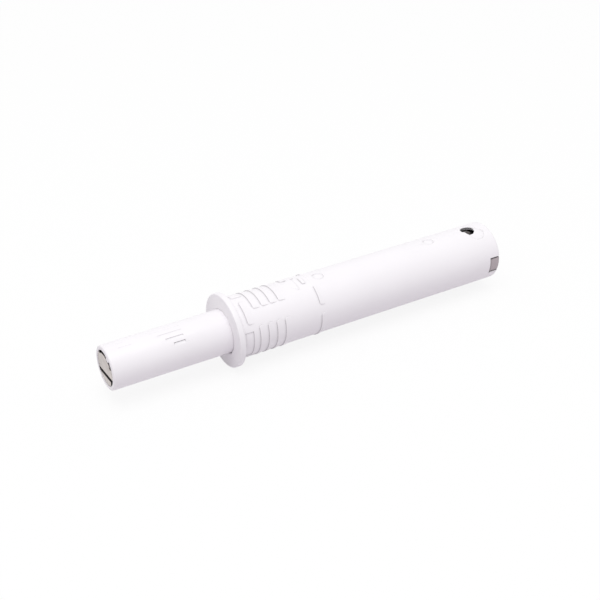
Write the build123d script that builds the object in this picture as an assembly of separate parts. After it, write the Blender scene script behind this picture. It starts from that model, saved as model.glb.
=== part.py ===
from build123d import *

import math
import os

# Drill-in magnetic push latch for a cabinet door: a round plastic sleeve is pushed into a drilled
# hole, and a plunger with a magnetic tip latches and unlatches inside it each time it is pressed.
# Sizes are in millimetres and angles in degrees. X runs along the latch: the magnetic tip points
# to -X and the closed end to +X. The origin is the centre of the flange's seating face. Angles
# round the latch are counted from +Z towards -Y.

# Sleeve
body_r = 4.9
wall = 0.65
sleeve_depth = 49.5
flange_r = 6.0
flange_t = 1.0
flange_edge = 0.2
rear_edge = 0.35
root_ring_len = 0.4
guide_len = 7.6
lip_gap = 0.13
lip_depth = 0.9
lip_shift = 0.05
lip_shift_angle = 115.0
lip_notch_w = 0.6
lip_notch_h = 0.15
lip_notch_angle = 137.0

# Barbed ribs that bite in the drilled hole, in two groups with a smooth strip between them
rib_h = 0.2
rib_crest = 0.25
rib_len = 1.2
rib_corner = 0.35
rib_first = 3.0
rib_pitch = 1.5
rib_count = 4
rib_start = 64.0
rib_sweep = 148.0
stop_rib_x = 14.0
stop_rib_len = 0.9
stop_rib_start = 78.0
stop_rib_sweep = 164.0
root_bite = 0.15

# Behind the flange: a shallow window ahead of each group of ribs, and a pad and a tab between them
window_start = 0.5
window_len = 1.5
window_depth = 0.2
window_sweep = 60.0
window_inset = 7.0
pad_x = 1.25
pad_len = 1.15
pad_from = 10.0
pad_sweep = 48.0
tab_x = 0.9
tab_len = 1.7
tab_from = -44.0
tab_sweep = 38.0

# Plain assembly marks on top, in low relief
mark_h = 0.17
arrow_tip_x = 9.5
arrow_len = 2.2
arrow_half_w = 2.05
bar_x = 12.65
bar_len = 0.6
bar_from = -8.0
bar_sweep = 20.0
side_bar_x = 9.9
side_bar_len = 2.3
side_bar_from = -34.0
side_bar_sweep = 20.0

# Round marks, side hole and rear notch
dimple_r = 0.95
dimple_depth = 0.1
front_dimple_x = 16.0
front_dimple_angle = 2.0
rear_dimple_back = 11.9
hole_r = 1.15
hole_back = 3.8
hole_angle = 2.0
hole_lip = 0.2
hole_ledge = 0.3
stake_r = 1.46
stake_depth = 0.12
stake_back = 2.9
stake_angle = 16.6
notch_len = 2.05
notch_w = 3.0
notch_angle = 94.5

# Plunger tube and its fits
plunger_r = 3.54
run_gap = 0.06
tip_out = 19.6
tip_edge = 0.3
tube_rear = 6.4
head_r = 2.85
head_depth = 8.5
head_floor = 1.5
groove_w = 0.42
groove_depth = 0.14
long_marks_end = -8.5
long_marks = ((-1.0, 4.7), (14.0, 3.8), (29.5, 2.9), (44.5, 1.9))
short_marks_start = -18.6
short_marks = ((-2.5, 1.1), (13.4, 2.1))
shoe_rib_angle = 28.0
shoe_rib_w = 0.85

# Magnet between its two steel pole shoes
seat_gap = 0.03
face_inset = 0.06
crown_r = 2.38
crown_y = 0.3
crown_z = -0.15
crown_from = -46.0
crown_sweep = 118.0
slit_top = -0.93
slit_w = 0.5
narrow_shoe_end = 1.7
magnet_t = 1.0
magnet_w = 3.6
magnet_inset = 1.4

# Cam slider
stroke = 18.0
collar_t = 1.0
stud_r = 2.3
stud_flat = 1.95
stud_out = 7.0
spring_roof = 0.48
spring_seat = 2.4
track_depth = 0.7
lane_offset = 0.8
lane_gap = 0.12
track_front_wall = 0.3
track_rear_wall = 0.45
latch_back = 1.5
latch_hook = 0.4
island_nose = 1.2
hook_share = 3
side_relief_w = 2.6
side_relief_depth = 0.5
key_w = 1.0
key_h = 0.45
key_gap = 0.1
stop_gap = 0.02

# Click ring that keeps the tube on the stud while the tube is turned
ring_x = 4.0
ring_t = 1.5
ring_r = 2.88
ring_slit = 0.8
bead_h = 0.17
bead_w = 0.4

# Return spring, follower wire and its leaf
spring_wire = 0.45
spring_turns = 10
spring_sides = 4
spring_gap = 0.15
wire_d = 0.8
wire_bend = 0.8
wire_sides = 8
leaf_t = 0.2
leaf_w = 2.0
leaf_len = 18.3
pip_r = 0.85
pip_sink = 0.18
pip_edge = 0.3
slide_gap = 0.05
pin_lift = 0.1

# End plug
plug_t = 2.3
plug_inset = 0.2
stem_gap = 0.25
stem_tip_r = 0.6
stem_len = 12.0
key_fill_gap = 0.1
key_top_gap = 0.2
key_sink = 0.18
pivot_depth = 2.2
plug_back = 0.55
cheek_gap = 0.25

# How far a cutting block runs on past the face that it cuts
over = 1.0

# Worked out from the sizes above
tip_x = -flange_t - tip_out
bore_r = body_r - wall
guide_r = plunger_r + run_gap
lip_r = plunger_r + lip_gap
plug_rear = sleeve_depth - plug_inset
plug_x = plug_rear - plug_t
head_floor_x = tip_x + head_depth
lane_half = wire_d / 2 + lane_gap
collar_x = guide_len + stop_gap
track_front = collar_x + collar_t + track_front_wall
pin_pressed_x = track_front + lane_half
pin_home_x = pin_pressed_x + stroke
track_rear = pin_home_x + lane_half
slider_rear = track_rear + track_rear_wall
slider_r = bore_r - run_gap
spring_seat_x = collar_x + spring_seat
leaf_top = math.sqrt((bore_r - slide_gap) ** 2 - (leaf_w / 2) ** 2)
leaf_z = leaf_top - leaf_t
leaf_front = plug_rear - leaf_len
wire_z = leaf_z - slide_gap - wire_d / 2
slider_flat = wire_z - wire_d / 2 - pin_lift
track_floor = slider_flat - track_depth
spring_bore_r = track_floor - spring_roof
spring_mean_r = spring_bore_r - spring_gap - spring_wire / 2
stem_r = spring_mean_r - spring_wire / 2 - stem_gap
pivot_x = plug_rear - plug_back - slide_gap - wire_d / 2
stud_bore_r = stud_r + run_gap
counterbore_r = ring_r + run_gap
hole_x = sleeve_depth - hole_back
stake_x = sleeve_depth - stake_back
dimple_places = ((front_dimple_x, front_dimple_angle), (sleeve_depth - rear_dimple_back, 0.0))
half_turn = 180.0


def turned(points, start=0.0, sweep=360.0):
    """Turns an outline of (x, radius) points round X, from one angle through a sweep."""
    outline = Plane.XZ * make_face(Polyline(*points, close=True))
    return Rot(X=start) * revolve(outline, axis=Axis.X, revolution_arc=sweep)


def band(x_from, x_to, r_from, r_to, start=0.0, sweep=360.0):
    """A plain ring, or a sector of one."""
    corners = [(x_from, r_from), (x_to, r_from), (x_to, r_to), (x_from, r_to)]
    return turned(corners, start, sweep)


def block(x_from, x_to, y_from, y_to, z_from, z_to):
    """A box between three pairs of planes."""
    centre = Pos((x_from + x_to) / 2, (y_from + y_to) / 2, (z_from + z_to) / 2)
    return centre * Box(x_to - x_from, y_to - y_from, z_to - z_from)


def radial_peg(x, angle, radius, r_from, r_to):
    """A round peg that points straight out from the axis."""
    peg = Pos(x, 0, (r_from + r_to) / 2) * Cylinder(radius, r_to - r_from)
    return Rot(X=angle) * peg


def circles_at(shape, x, radius):
    """The round edges of a turned shape at one place along X."""
    return [
        e
        for e in shape.edges().filter_by(GeomType.CIRCLE)
        if abs(e.arc_center.X - x) < 1e-4 and abs(e.radius - radius) < 1e-4
    ]


def barb(x, length, start, sweep):
    """One rib: steep towards the flange, sloping towards the closed end, with its corners rounded."""
    root = body_r - root_bite
    crest = body_r + rib_h
    outline = [(x, root), (x, crest), (x + rib_crest, crest), (x + length, body_r), (x + length, root)]
    rib = turned(outline, start, sweep)
    corners = [
        e
        for e in rib.edges().filter_by(GeomType.LINE)
        if abs(e.center().X - x) < 1e-4 and abs(e.length - rib_h - root_bite) < 1e-4
    ]
    return fillet(corners, rib_corner)


def front_pads():
    """A sloped pad and a plain tab on each smooth strip, next to the flange."""
    root = body_r - root_bite
    crest = body_r + mark_h
    pads = []
    for side in (0.0, half_turn):
        pads.append(barb(pad_x, pad_len, pad_from + side, pad_sweep))
        pads.append(band(tab_x, tab_x + tab_len, root, crest, tab_from + side, tab_sweep))
    return pads


def grip_ribs():
    """Both groups of ribs and the wider rib that ends the gripping part."""
    ribs = []
    for side in (0.0, half_turn):
        for i in range(rib_count):
            ribs.append(barb(rib_first + i * rib_pitch, rib_len, rib_start + side, rib_sweep))
        ribs.append(barb(stop_rib_x, stop_rib_len, stop_rib_start + side, stop_rib_sweep))
    return ribs


def assembly_marks():
    """A plain arrow and two bars in low relief on top."""
    skin = band(side_bar_x - over, bar_x + bar_len + over, body_r - root_bite, body_r + mark_h)
    arrow = make_face(
        Polyline(
            (arrow_tip_x, 0),
            (arrow_tip_x + arrow_len, -arrow_half_w),
            (arrow_tip_x + arrow_len, arrow_half_w),
            close=True,
        )
    )
    root = body_r - root_bite
    crest = body_r + mark_h
    return [
        extrude(Pos(0, 0, body_r - over) * arrow, 2 * over) & skin,
        band(bar_x, bar_x + bar_len, root, crest, bar_from, bar_sweep),
        band(side_bar_x, side_bar_x + side_bar_len, root, crest, side_bar_from, side_bar_sweep),
    ]


def front_windows():
    """The shallow window ahead of each group of ribs."""
    x_to = window_start + window_len
    first = rib_start + window_inset
    return [
        band(window_start, x_to, body_r - window_depth, body_r + over, first + side, window_sweep)
        for side in (0.0, half_turn)
    ]


def mouth_recess():
    """The recess round the plunger in the flange's face, a little off the axis, with a small notch."""
    x_from = -flange_t - over
    x_to = lip_depth - flange_t
    recess = Rot(X=lip_shift_angle) * Pos(0, 0, lip_shift) * band(x_from, x_to, 0, lip_r)
    half = lip_notch_w / 2
    notch = block(x_from, x_to, -half, half, lip_r - over, lip_r + lip_notch_h)
    return [recess, Rot(X=lip_notch_angle) * notch]


def anti_turn_key():
    """The rib along the bottom of the bore that keeps the slider from turning."""
    return block(guide_len, plug_x, -key_w / 2, key_w / 2, -bore_r - wall / 2, -bore_r + key_h)


def housing():
    """The outer sleeve with its flange."""
    outline = [
        (-flange_t, guide_r),
        (-flange_t, flange_r),
        (0, flange_r),
        (0, body_r + rib_h),
        (root_ring_len, body_r + rib_h),
        (root_ring_len, body_r),
        (sleeve_depth, body_r),
        (sleeve_depth, bore_r),
        (guide_len, bore_r),
        (guide_len, guide_r),
    ]
    shell = turned(outline)
    shell = chamfer(circles_at(shell, -flange_t, flange_r) + circles_at(shell, 0, flange_r), flange_edge)
    shell = chamfer(circles_at(shell, sleeve_depth, body_r), rear_edge)
    shell += front_pads() + grip_ribs() + assembly_marks() + [anti_turn_key()]
    shell -= front_windows() + mouth_recess()
    shell -= [
        radial_peg(x, angle, dimple_r, body_r - dimple_depth, body_r + over)
        for x, angle in dimple_places
    ]
    shell -= radial_peg(hole_x, hole_angle, hole_r, 0, body_r + over)
    shell -= radial_peg(hole_x, hole_angle, hole_r + hole_ledge, 0, body_r - hole_lip)
    shell -= radial_peg(stake_x, stake_angle, stake_r, body_r - stake_depth, body_r + over)
    notch = block(
        sleeve_depth - notch_len,
        sleeve_depth + over,
        -notch_w / 2,
        notch_w / 2,
        bore_r - over,
        body_r + over,
    )
    return shell - Rot(X=notch_angle) * notch


def plunger_grooves():
    """The two groups of shallow grooves that show which way to turn the tip."""
    sweep = math.degrees(groove_w / plunger_r)
    floor = plunger_r - groove_depth
    grooves = [
        band(long_marks_end - length, long_marks_end, floor, plunger_r + over, angle, sweep)
        for angle, length in long_marks
    ]
    grooves += [
        band(short_marks_start, short_marks_start + length, floor, plunger_r + over, angle, sweep)
        for angle, length in short_marks
    ]
    return grooves


def plunger_tube():
    """The sliding tube: a recess for the magnet in front, and a bore for the stud behind."""
    bead_x = ring_x + ring_t + slide_gap
    counterbore_x = ring_x - slide_gap
    bead_r = counterbore_r - bead_h
    stud_bore_x = head_floor_x + head_floor
    outline = [
        (tip_x, head_r),
        (tip_x, plunger_r),
        (tube_rear, plunger_r),
        (tube_rear, counterbore_r),
        (bead_x + bead_w, counterbore_r),
        (bead_x + bead_w / 2, bead_r),
        (bead_x, counterbore_r),
        (counterbore_x, counterbore_r),
        (counterbore_x, stud_bore_r),
        (stud_bore_x, stud_bore_r),
        (stud_bore_x, 0),
        (head_floor_x, 0),
        (head_floor_x, head_r),
    ]
    tube = turned(outline)
    tube = chamfer(circles_at(tube, tip_x, plunger_r), tip_edge)
    half = shoe_rib_w / 2
    shoe_rib = block(tip_x + face_inset, head_floor_x, -half, half, 0, head_r + slide_gap)
    shoe_rib = Rot(X=shoe_rib_angle) * shoe_rib
    crown_room = Pos(0, crown_y, crown_z) * band(tip_x - over, head_floor_x, 0, crown_r + seat_gap)
    tube += shoe_rib - crown_room
    tube -= plunger_grooves()
    return tube


def wide_pole_shoe():
    """The shoe above the slit. Its crown stands back from the tube, and a step clears the magnet."""
    x_from = tip_x + face_inset
    x_to = head_floor_x
    shoe = band(x_from, x_to, 0, head_r - seat_gap)
    crown = Pos(0, crown_y, crown_z) * band(x_from - over, x_to + over, 0, crown_r)
    shoe -= band(x_from, x_to, 0, head_r, crown_from, crown_sweep) - crown
    shoe -= block(x_from - over, x_to + over, -head_r, head_r, -2 * head_r, slit_top)
    magnet_top = slit_top - slit_w + magnet_t
    magnet_x = tip_x + magnet_inset
    return shoe - block(magnet_x, x_to + over, -head_r, head_r, -2 * head_r, magnet_top)


def narrow_pole_shoe():
    """The segment below the slit. It stops short of the bore at one end."""
    x_from = tip_x + face_inset
    shoe = band(x_from, head_floor_x, 0, head_r - seat_gap)
    slit_low = slit_top - slit_w
    return shoe & block(x_from, head_floor_x, -narrow_shoe_end, head_r, -2 * head_r, slit_low)


def magnet():
    """The flat magnet, which lies between the shoes behind the slit."""
    z_from = slit_top - slit_w
    half = magnet_w / 2
    return block(
        tip_x + magnet_inset,
        head_floor_x,
        crown_y - half,
        crown_y + half,
        z_from,
        z_from + magnet_t,
    )


def cam_track():
    """The loop in the slider's flat: two lanes round an island with a latching notch in its nose."""
    outer = block(
        track_front,
        track_rear,
        -lane_offset - lane_half,
        lane_offset + lane_half,
        track_floor,
        slider_flat + over,
    )
    half = lane_offset - lane_half
    hook_x = pin_pressed_x + latch_back + wire_d / 2
    rear_x = pin_home_x - lane_half - island_nose
    outline = Polyline(
        (hook_x - latch_hook, half),
        (hook_x, half / hook_share),
        (hook_x, -half / hook_share),
        (hook_x - latch_hook, -half),
        (rear_x - island_nose, -half),
        (rear_x, 0),
        (rear_x - island_nose, half),
        close=True,
    )
    island = extrude(Pos(0, 0, track_floor) * make_face(outline), slider_flat - track_floor)
    return outer - island


def cam_slider():
    """The inner slider: a stud for the tube in front, a stop collar, and the cam track behind."""
    stud = band(-stud_out, collar_x + collar_t, 0, stud_r)
    stud &= block(-stud_out - over, collar_x + 2 * collar_t, -stud_flat, stud_flat, -stud_r, stud_r)
    stud = chamfer(stud.edges().group_by(Axis.X)[0], tip_edge)
    barrel = band(collar_x, slider_rear, 0, slider_r)
    barrel -= block(collar_x + collar_t, slider_rear + over, -body_r, body_r, slider_flat, body_r)
    barrel -= cam_track()
    for side in (-1, 1):
        inner = side * (slider_r - side_relief_depth)
        outer = side * body_r
        barrel -= block(
            collar_x + collar_t,
            slider_rear - collar_t,
            min(inner, outer),
            max(inner, outer),
            -side_relief_w / 2,
            side_relief_w / 2,
        )
    barrel -= band(spring_seat_x, slider_rear + over, 0, spring_bore_r)
    groove_half = key_w / 2 + key_gap
    groove_top = -bore_r + key_h + key_gap
    barrel -= block(collar_x - over, slider_rear + over, -groove_half, groove_half, -body_r, groove_top)
    wire_slot_z = wire_z - wire_d / 2 - pin_lift
    swing = lane_offset + lane_half
    barrel -= block(track_front, slider_rear + over, -swing, swing, wire_slot_z, body_r)
    return stud + barrel


def click_ring():
    """The split ring that turns with neither the stud nor the sleeve."""
    x_to = ring_x + ring_t
    bore = band(ring_x - over, x_to + over, 0, stud_bore_r)
    flat = stud_flat + slide_gap
    bore &= block(ring_x - 2 * over, x_to + 2 * over, -flat, flat, -ring_r, ring_r)
    ring = band(ring_x, x_to, 0, ring_r) - bore
    return ring - block(ring_x - over, x_to + over, -ring_slit / 2, ring_slit / 2, 0, ring_r + over)


def return_spring():
    """The compression spring between the slider's bore and the end plug. Its wire is square."""
    wire_r = spring_wire / 2
    length = plug_x - spring_seat_x - spring_wire
    path = Helix(pitch=length / spring_turns, height=length, radius=spring_mean_r)
    section = Plane(origin=path @ 0, z_dir=path % 0) * RegularPolygon(wire_r, spring_sides)
    coil = sweep(section, path=path, is_frenet=True)
    return Pos(spring_seat_x + wire_r, 0, 0) * Rot(Y=90) * coil


def follower_wire():
    """The bent wire whose front leg runs in the track and whose rear leg turns in the end plug."""
    tip_z = track_floor + pin_lift
    pivot_z = wire_z - pivot_depth
    route = FilletPolyline(
        (pivot_x, 0, pivot_z),
        (pivot_x, 0, wire_z),
        (pin_home_x, lane_offset, wire_z),
        (pin_home_x, lane_offset, tip_z),
        radius=wire_bend,
    )
    section = Plane(origin=route @ 0, z_dir=route % 0) * RegularPolygon(wire_d / 2, wire_sides)
    return sweep(section, path=route)


def follower_leaf():
    """The thin steel strip that keeps the wire down in the track, with a pip that clicks in the hole."""
    strip = block(leaf_front, plug_rear, -leaf_w / 2, leaf_w / 2, leaf_z, leaf_top)
    pip = radial_peg(hole_x, 0, pip_r, leaf_z, body_r - pip_sink)
    return strip + chamfer(pip.edges().group_by(Axis.Z)[-1], pip_edge)


def end_plug():
    """The grey plug that closes the sleeve, holds the wire and the leaf and guides the spring."""
    disc = band(plug_x, plug_rear, 0, bore_r - seat_gap)
    wire_side = wire_d / 2 + cheek_gap
    pocket_z = wire_z - wire_bend - slide_gap
    pocket_end = plug_rear - plug_back
    disc -= block(plug_x - over, pocket_end, -wire_side, wire_side, pocket_z, body_r)
    leaf_side = leaf_w / 2 + seat_gap
    disc -= block(plug_x - over, plug_rear + over, -leaf_side, leaf_side, leaf_z - seat_gap, body_r)
    pivot_low = wire_z - pivot_depth - pin_lift
    disc -= Pos(pivot_x, 0, (pivot_low + body_r) / 2) * Cylinder(wire_d / 2 + slide_gap, body_r - pivot_low)
    key_half = notch_w / 2 - key_fill_gap
    key_x = sleeve_depth - notch_len + key_fill_gap
    key = block(key_x, plug_rear, -key_half, key_half - key_top_gap, bore_r - wall, body_r)
    key &= band(key_x, plug_rear, 0, body_r - key_sink)
    plug = disc + Rot(X=notch_angle) * key
    groove_half = key_w / 2 + key_gap
    groove_top = -bore_r + key_h + key_gap
    plug -= block(plug_x - over, plug_rear + over, -groove_half, groove_half, -body_r, groove_top)
    return plug + turned(
        [
            (plug_x - stem_len, 0),
            (plug_x - stem_len, stem_tip_r),
            (plug_x - stem_len + stem_r, stem_r),
            (plug_x + plug_back, stem_r),
            (plug_x + plug_back, 0),
        ]
    )


pieces = {
    "housing": housing,
    "end_plug": end_plug,
    "plunger_tube": plunger_tube,
    "wide_pole_shoe": wide_pole_shoe,
    "narrow_pole_shoe": narrow_pole_shoe,
    "magnet": magnet,
    "cam_slider": cam_slider,
    "click_ring": click_ring,
    "return_spring": return_spring,
    "follower_wire": follower_wire,
    "follower_leaf": follower_leaf,
}

os.makedirs("parts", exist_ok=True)
for name, make in pieces.items():
    export_step(make(), os.path.join("parts", name + ".step"))
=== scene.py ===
import math
from types import SimpleNamespace

import bmesh
import bpy
from bpy.props import FloatProperty, FloatVectorProperty, PointerProperty
from bpy.types import Operator, Panel, PropertyGroup
from mathutils import Matrix, Vector


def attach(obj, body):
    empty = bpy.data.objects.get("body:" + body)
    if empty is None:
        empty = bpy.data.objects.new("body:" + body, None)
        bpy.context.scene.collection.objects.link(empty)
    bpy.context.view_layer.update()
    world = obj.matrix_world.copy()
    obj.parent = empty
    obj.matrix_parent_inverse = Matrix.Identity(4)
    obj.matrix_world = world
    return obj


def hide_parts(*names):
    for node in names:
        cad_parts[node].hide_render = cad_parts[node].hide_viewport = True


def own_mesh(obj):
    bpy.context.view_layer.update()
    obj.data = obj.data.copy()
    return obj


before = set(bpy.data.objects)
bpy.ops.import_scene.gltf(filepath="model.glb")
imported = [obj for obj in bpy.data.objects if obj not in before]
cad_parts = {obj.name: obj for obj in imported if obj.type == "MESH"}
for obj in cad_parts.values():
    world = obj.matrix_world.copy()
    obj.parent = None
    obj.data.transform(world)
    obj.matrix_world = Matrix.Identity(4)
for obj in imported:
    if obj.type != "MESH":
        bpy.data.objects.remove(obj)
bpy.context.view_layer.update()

bl_info = {
    "name": "Magnetic push latch",
    "version": (1, 0, 0),
    "blender": (4, 5, 0),
    "location": "View3D > Sidebar > Latch",
    "description": "Dresses the packed push latch with moulded plastic, plated steel and soft light",
    "category": "Object",
}

MM = 0.001


# Sizes and colours that a user would change


def number(name, description, default, **options):
    """A plain number, or one whose unit or subtype is given."""
    return FloatProperty(name=name, description=description, default=default, **options)


def mm(name, description, default):
    """A length, given in millimetres."""
    return number(name, description, default * MM, unit="LENGTH", precision=5)


def deg(name, description, default):
    """An angle, given in degrees."""
    return number(name, description, math.radians(default), subtype="ANGLE")


def factor(name, description, default):
    """A share from 0 to 1."""
    return number(name, description, default, subtype="FACTOR", min=0.0, max=1.0)


def spot(name, description, default):
    """A place, given in millimetres."""
    default = [value * MM for value in default]
    return FloatVectorProperty(name=name, description=description, default=default, subtype="TRANSLATION")


def paint(name, description, default):
    """A colour."""
    return FloatVectorProperty(name=name, description=description, default=default, subtype="COLOR")


def measures(group):
    """A group's sizes as plain numbers, with its lengths in millimetres and its angles in degrees."""
    per_unit = {"LENGTH": 1 / MM, "ROTATION": math.degrees(1.0)}
    sizes = {}
    for key in group.__annotations__:
        unit = group.bl_rna.properties[key].unit
        sizes[key] = getattr(group, key) * per_unit.get(unit, 1.0)
    return SimpleNamespace(**sizes)


class StageSizes(PropertyGroup):
    """Camera, floor and light."""

    eye: spot("Camera place", "Where the camera stands", (-67.2426, -136.2766, 100.7376))
    yaw: deg("Camera yaw", "Turn of the view from +Y towards +X", 30.4437)
    pitch: deg("Camera pitch", "How far the camera looks down", 32.1848)
    lens: number("Focal length", "On a sensor 36 mm wide", 70.27, unit="CAMERA")
    floor_z: mm("Floor height", "Height of the floor", -6.0)
    floor_half: mm("Floor half width", "Half the width of the floor", 1500.0)
    sky: number("Sky strength", "Brightness of the soft light from all round", 0.72, min=0.0)
    key_power: number("Key power", "Power of the soft lamp overhead", 1.62, unit="POWER", min=0.0)
    key_place: spot("Key place", "Where the soft lamp hangs", (-70.0, -108.0, 600.0))
    key_size: mm("Key size", "Width of the soft lamp", 500.0)
    shadow: factor("Shadow", "How much of the floor's own shading the camera sees", 0.14)
    floor_seen: paint("Floor as seen", "White of the floor in its shading", (0.92, 0.92, 0.92))
    floor_bounce: paint("Floor bounce", "White of the light that the floor throws back", (0.66, 0.62, 0.665))


class LatchColours(PropertyGroup):
    """Colours of the plastics and metals."""

    shell_white: paint("Shell white", "White of the sleeve", (0.92, 0.895, 0.925))
    plunger_white: paint("Plunger white", "White of the plunger tube", (0.92, 0.895, 0.925))
    plug_grey: paint("Plug grey", "Grey of the end plug", (0.50, 0.445, 0.46))
    slider_cream: paint("Slider cream", "Colour of the inner slider", (0.72, 0.70, 0.66))
    shoe_steel: paint("Shoe steel", "Plating of the two pole shoes", (0.60, 0.55, 0.53))
    # The magnet's own dark ceramic, made near black so that its nose in the slit stands in for the slit's
    # painted shade
    magnet_and_slit_shade: paint("Magnet", "Dull dark ceramic of the magnet", (0.010, 0.008, 0.008))
    # Made very dark so that the strip's pip fills the side hole with near black: partly the steel's own dark
    # tone, partly painted shade of the hole
    steel_and_hole_shade: paint("Wire steel", "Drawn steel of the spring, the wire and the strip", (0.09, 0.08, 0.08))


class SleeveSizes(PropertyGroup):
    """Sizes of the sleeve."""

    body_radius: mm("Body radius", "Plain sleeve", 4.9)
    bore_radius: mm("Bore radius", "Inside of the sleeve", 4.25)
    sleeve_length: mm("Sleeve length", "From the flange's seat to the closed end", 49.5)
    flange_radius: mm("Flange radius", "Flange", 5.993)
    flange_thickness: mm("Flange thickness", "Flange", 1)
    flange_round: mm("Flange edge", "Rounding of the flange's rim", 0.2)
    rear_round: mm("Rear edge", "Rounding of the closed end", 0.42)
    guide_length: mm("Guide length", "Narrow part of the bore that guides the plunger", 7.6)
    guide_radius: mm("Guide radius", "Narrow part of the bore", 3.57)
    mouth_radius: mm("Mouth radius", "Recess round the plunger at the flange's front", 3.59)
    mouth_depth: mm("Mouth depth", "Depth of that recess", 0.9)
    mouth_offset: mm("Mouth offset", "How far the recess lies off the axis", 0.035)
    mouth_offset_angle: deg("Mouth offset angle", "Side to which the recess is off", 115)
    lip_notch_angle: deg("Lip notch angle", "Place of the small notch in the mouth", 137)
    lip_notch_width: mm("Lip notch width", "Width of that notch", 0.6)
    lip_notch_depth: mm("Lip notch depth", "Depth of that notch", 0.1)
    edge_soft: mm("Soft edge", "Width of the soft walls of low reliefs", 0.06)
    rib_height: mm("Rib height", "Barbed ribs", 0.12)
    rib_crest: mm("Rib crest", "Flat crest of a rib", 0.25)
    rib_corner: mm("Rib corner", "Rounding of a rib's corners", 0.35)
    rib_first: mm("First rib", "Place of the first rib", 3)
    rib_pitch: mm("Rib pitch", "From one rib to the next", 1.5)
    window_depth: mm("Window depth", "Shallow windows behind the flange", 0.11)
    mark_height: mm("Mark height", "Plain marks on top", 0.11)
    tab_height: mm("Tab height", "Plain tabs beside the flange", 0.08)
    arrow_tip: mm("Arrow tip", "Place of the arrow's tip", 9.5)
    arrow_length: mm("Arrow length", "Length of the arrow head", 2.2)
    arrow_slope: number("Arrow slope", "Half width gained for each millimetre of length", 0.93)
    round_depth: mm("Round mark depth", "Round moulding marks on top", 0.13)
    hole_place: mm("Hole place", "Side hole", 45.7)
    hole_angle: deg("Hole angle", "Place of the side hole round the axis", 1.0)
    hole_radius: mm("Hole radius", "Side hole", 1.2)
    hole_round: mm("Hole edge", "Rounding of the hole's rim", 0.1)
    hole_field: mm("Hole field", "Half of the patch of skin round the hole", 1.7)
    hole_lip: mm("Hole lip", "Thickness of the skin at the hole's rim", 0.2)
    hole_ledge: mm("Hole ledge", "How far the hole widens below its rim", 0.3)
    hole_bump: mm("Hole tooth", "Height of the small tooth in the hole's rim", 0.3)
    hole_bump_angle: deg("Hole tooth angle", "Place of the tooth", 150)
    notch_length: mm("Notch length", "Notch in the closed end", 2.05)
    notch_width: mm("Notch width", "Width of that notch", 3)
    notch_angle: deg("Notch angle", "Its place", 94.5)
    key_width: mm("Key width", "Rib along the bottom of the bore", 1)
    key_height: mm("Key height", "Height of that rib", 0.45)
    key_end: mm("Key end", "Where that rib ends", 47)


class PlungerSizes(PropertyGroup):
    """Sizes of the plunger tube."""

    radius: mm("Radius", "Plunger tube", 3.54)
    tip: mm("Tip", "Place of the tip", -20.6)
    rear: mm("Rear", "Place of the tube's hidden end", 6.4)
    tip_round: mm("Tip edge", "Rounding of the tip", 0.3)
    recess_radius: mm("Recess radius", "Recess for the pole shoes", 2.85)
    recess_depth: mm("Recess depth", "Depth of that recess", 8.5)
    lining_angle: deg("Lining start", "Far end of the thicker wall over the crown", -50.0)
    lining_y: mm("Lining Y", "Middle of that wall's inside", 0.3)
    lining_z: mm("Lining Z", "Middle of that wall's inside", 0.0)
    lining_radius: mm("Lining radius", "Inside of that wall", 2.74)
    edge_soft: mm("Soft edge", "Width of the grooves' soft walls", 0.05)
    rib_angle: deg("Rib angle", "Rib that centres the wide shoe", 28)
    rib_width: mm("Rib width", "Width of that rib", 0.85)
    floor_thickness: mm("Wall thickness", "Wall between the recess and the stud's bore", 1.5)
    bead_height: mm("Bead height", "Bead that keeps the click ring in", 0.17)
    rib_reach: mm("Rib reach", "How near the rib comes to the axis", 2.0)
    counterbore_radius: mm("Counterbore radius", "Room for the click ring", 2.94)
    stud_bore_radius: mm("Stud bore radius", "Room for the slider's stud", 2.36)
    ring_start: mm("Ring start", "Front of the click ring", 4)
    ring_end: mm("Ring end", "Back of the click ring", 5.5)


class ShoeSizes(PropertyGroup):
    """Sizes of the pole shoes in the plunger's tip."""

    front: mm("Front", "Place of the shoes' faces", -20.54)
    back: mm("Back", "Place of their hidden ends", -12)
    crown_y: mm("Crown Y", "Middle of the wide shoe's crown", 0.52)
    crown_z: mm("Crown Z", "Middle of the wide shoe's crown", -0.15)
    crown_radius: mm("Crown radius", "Crown of the wide shoe", 2.28)
    crown_start_angle: deg("Crown start", "Far end of the crown", -46.0)
    crown_end_angle: deg("Crown end", "Near end of the crown", 72.0)
    shoe_gap: mm("Shoe gap", "Gap between the shoes and the tube", 0.03)
    slit_top: mm("Slit top", "Upper edge of the slit", -0.96)
    slit_width: mm("Slit width", "Gap between the shoes", 0.58)
    narrow_end: mm("Narrow shoe end", "Where the narrow shoe stops on the near side", 1.7)
    recess_radius: mm("Recess radius", "Recess in the tube", 2.85)
    magnet_width: mm("Magnet width", "Slab between the shoes", 3.6)
    magnet_thickness: mm("Magnet thickness", "Slab between the shoes", 1.0)
    magnet_front: mm("Magnet front", "Front of the slab", -19.2)
    # The nose comes up flush with the faces, a dark piece that stands in for the slit's shade
    nose_front: mm("Nose front", "Front of the magnet's nose in the slit", -20.56)
    face_turn: deg("Face turn", "Turn of the shoes and the magnet round the axis", -3.0)
    shoe_corner: mm("Shoe corner", "Rounding of the shoes' corners", 0.12)
    shoe_edge: mm("Shoe edge", "Rounding of the faces' edges", 0.1)


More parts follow.
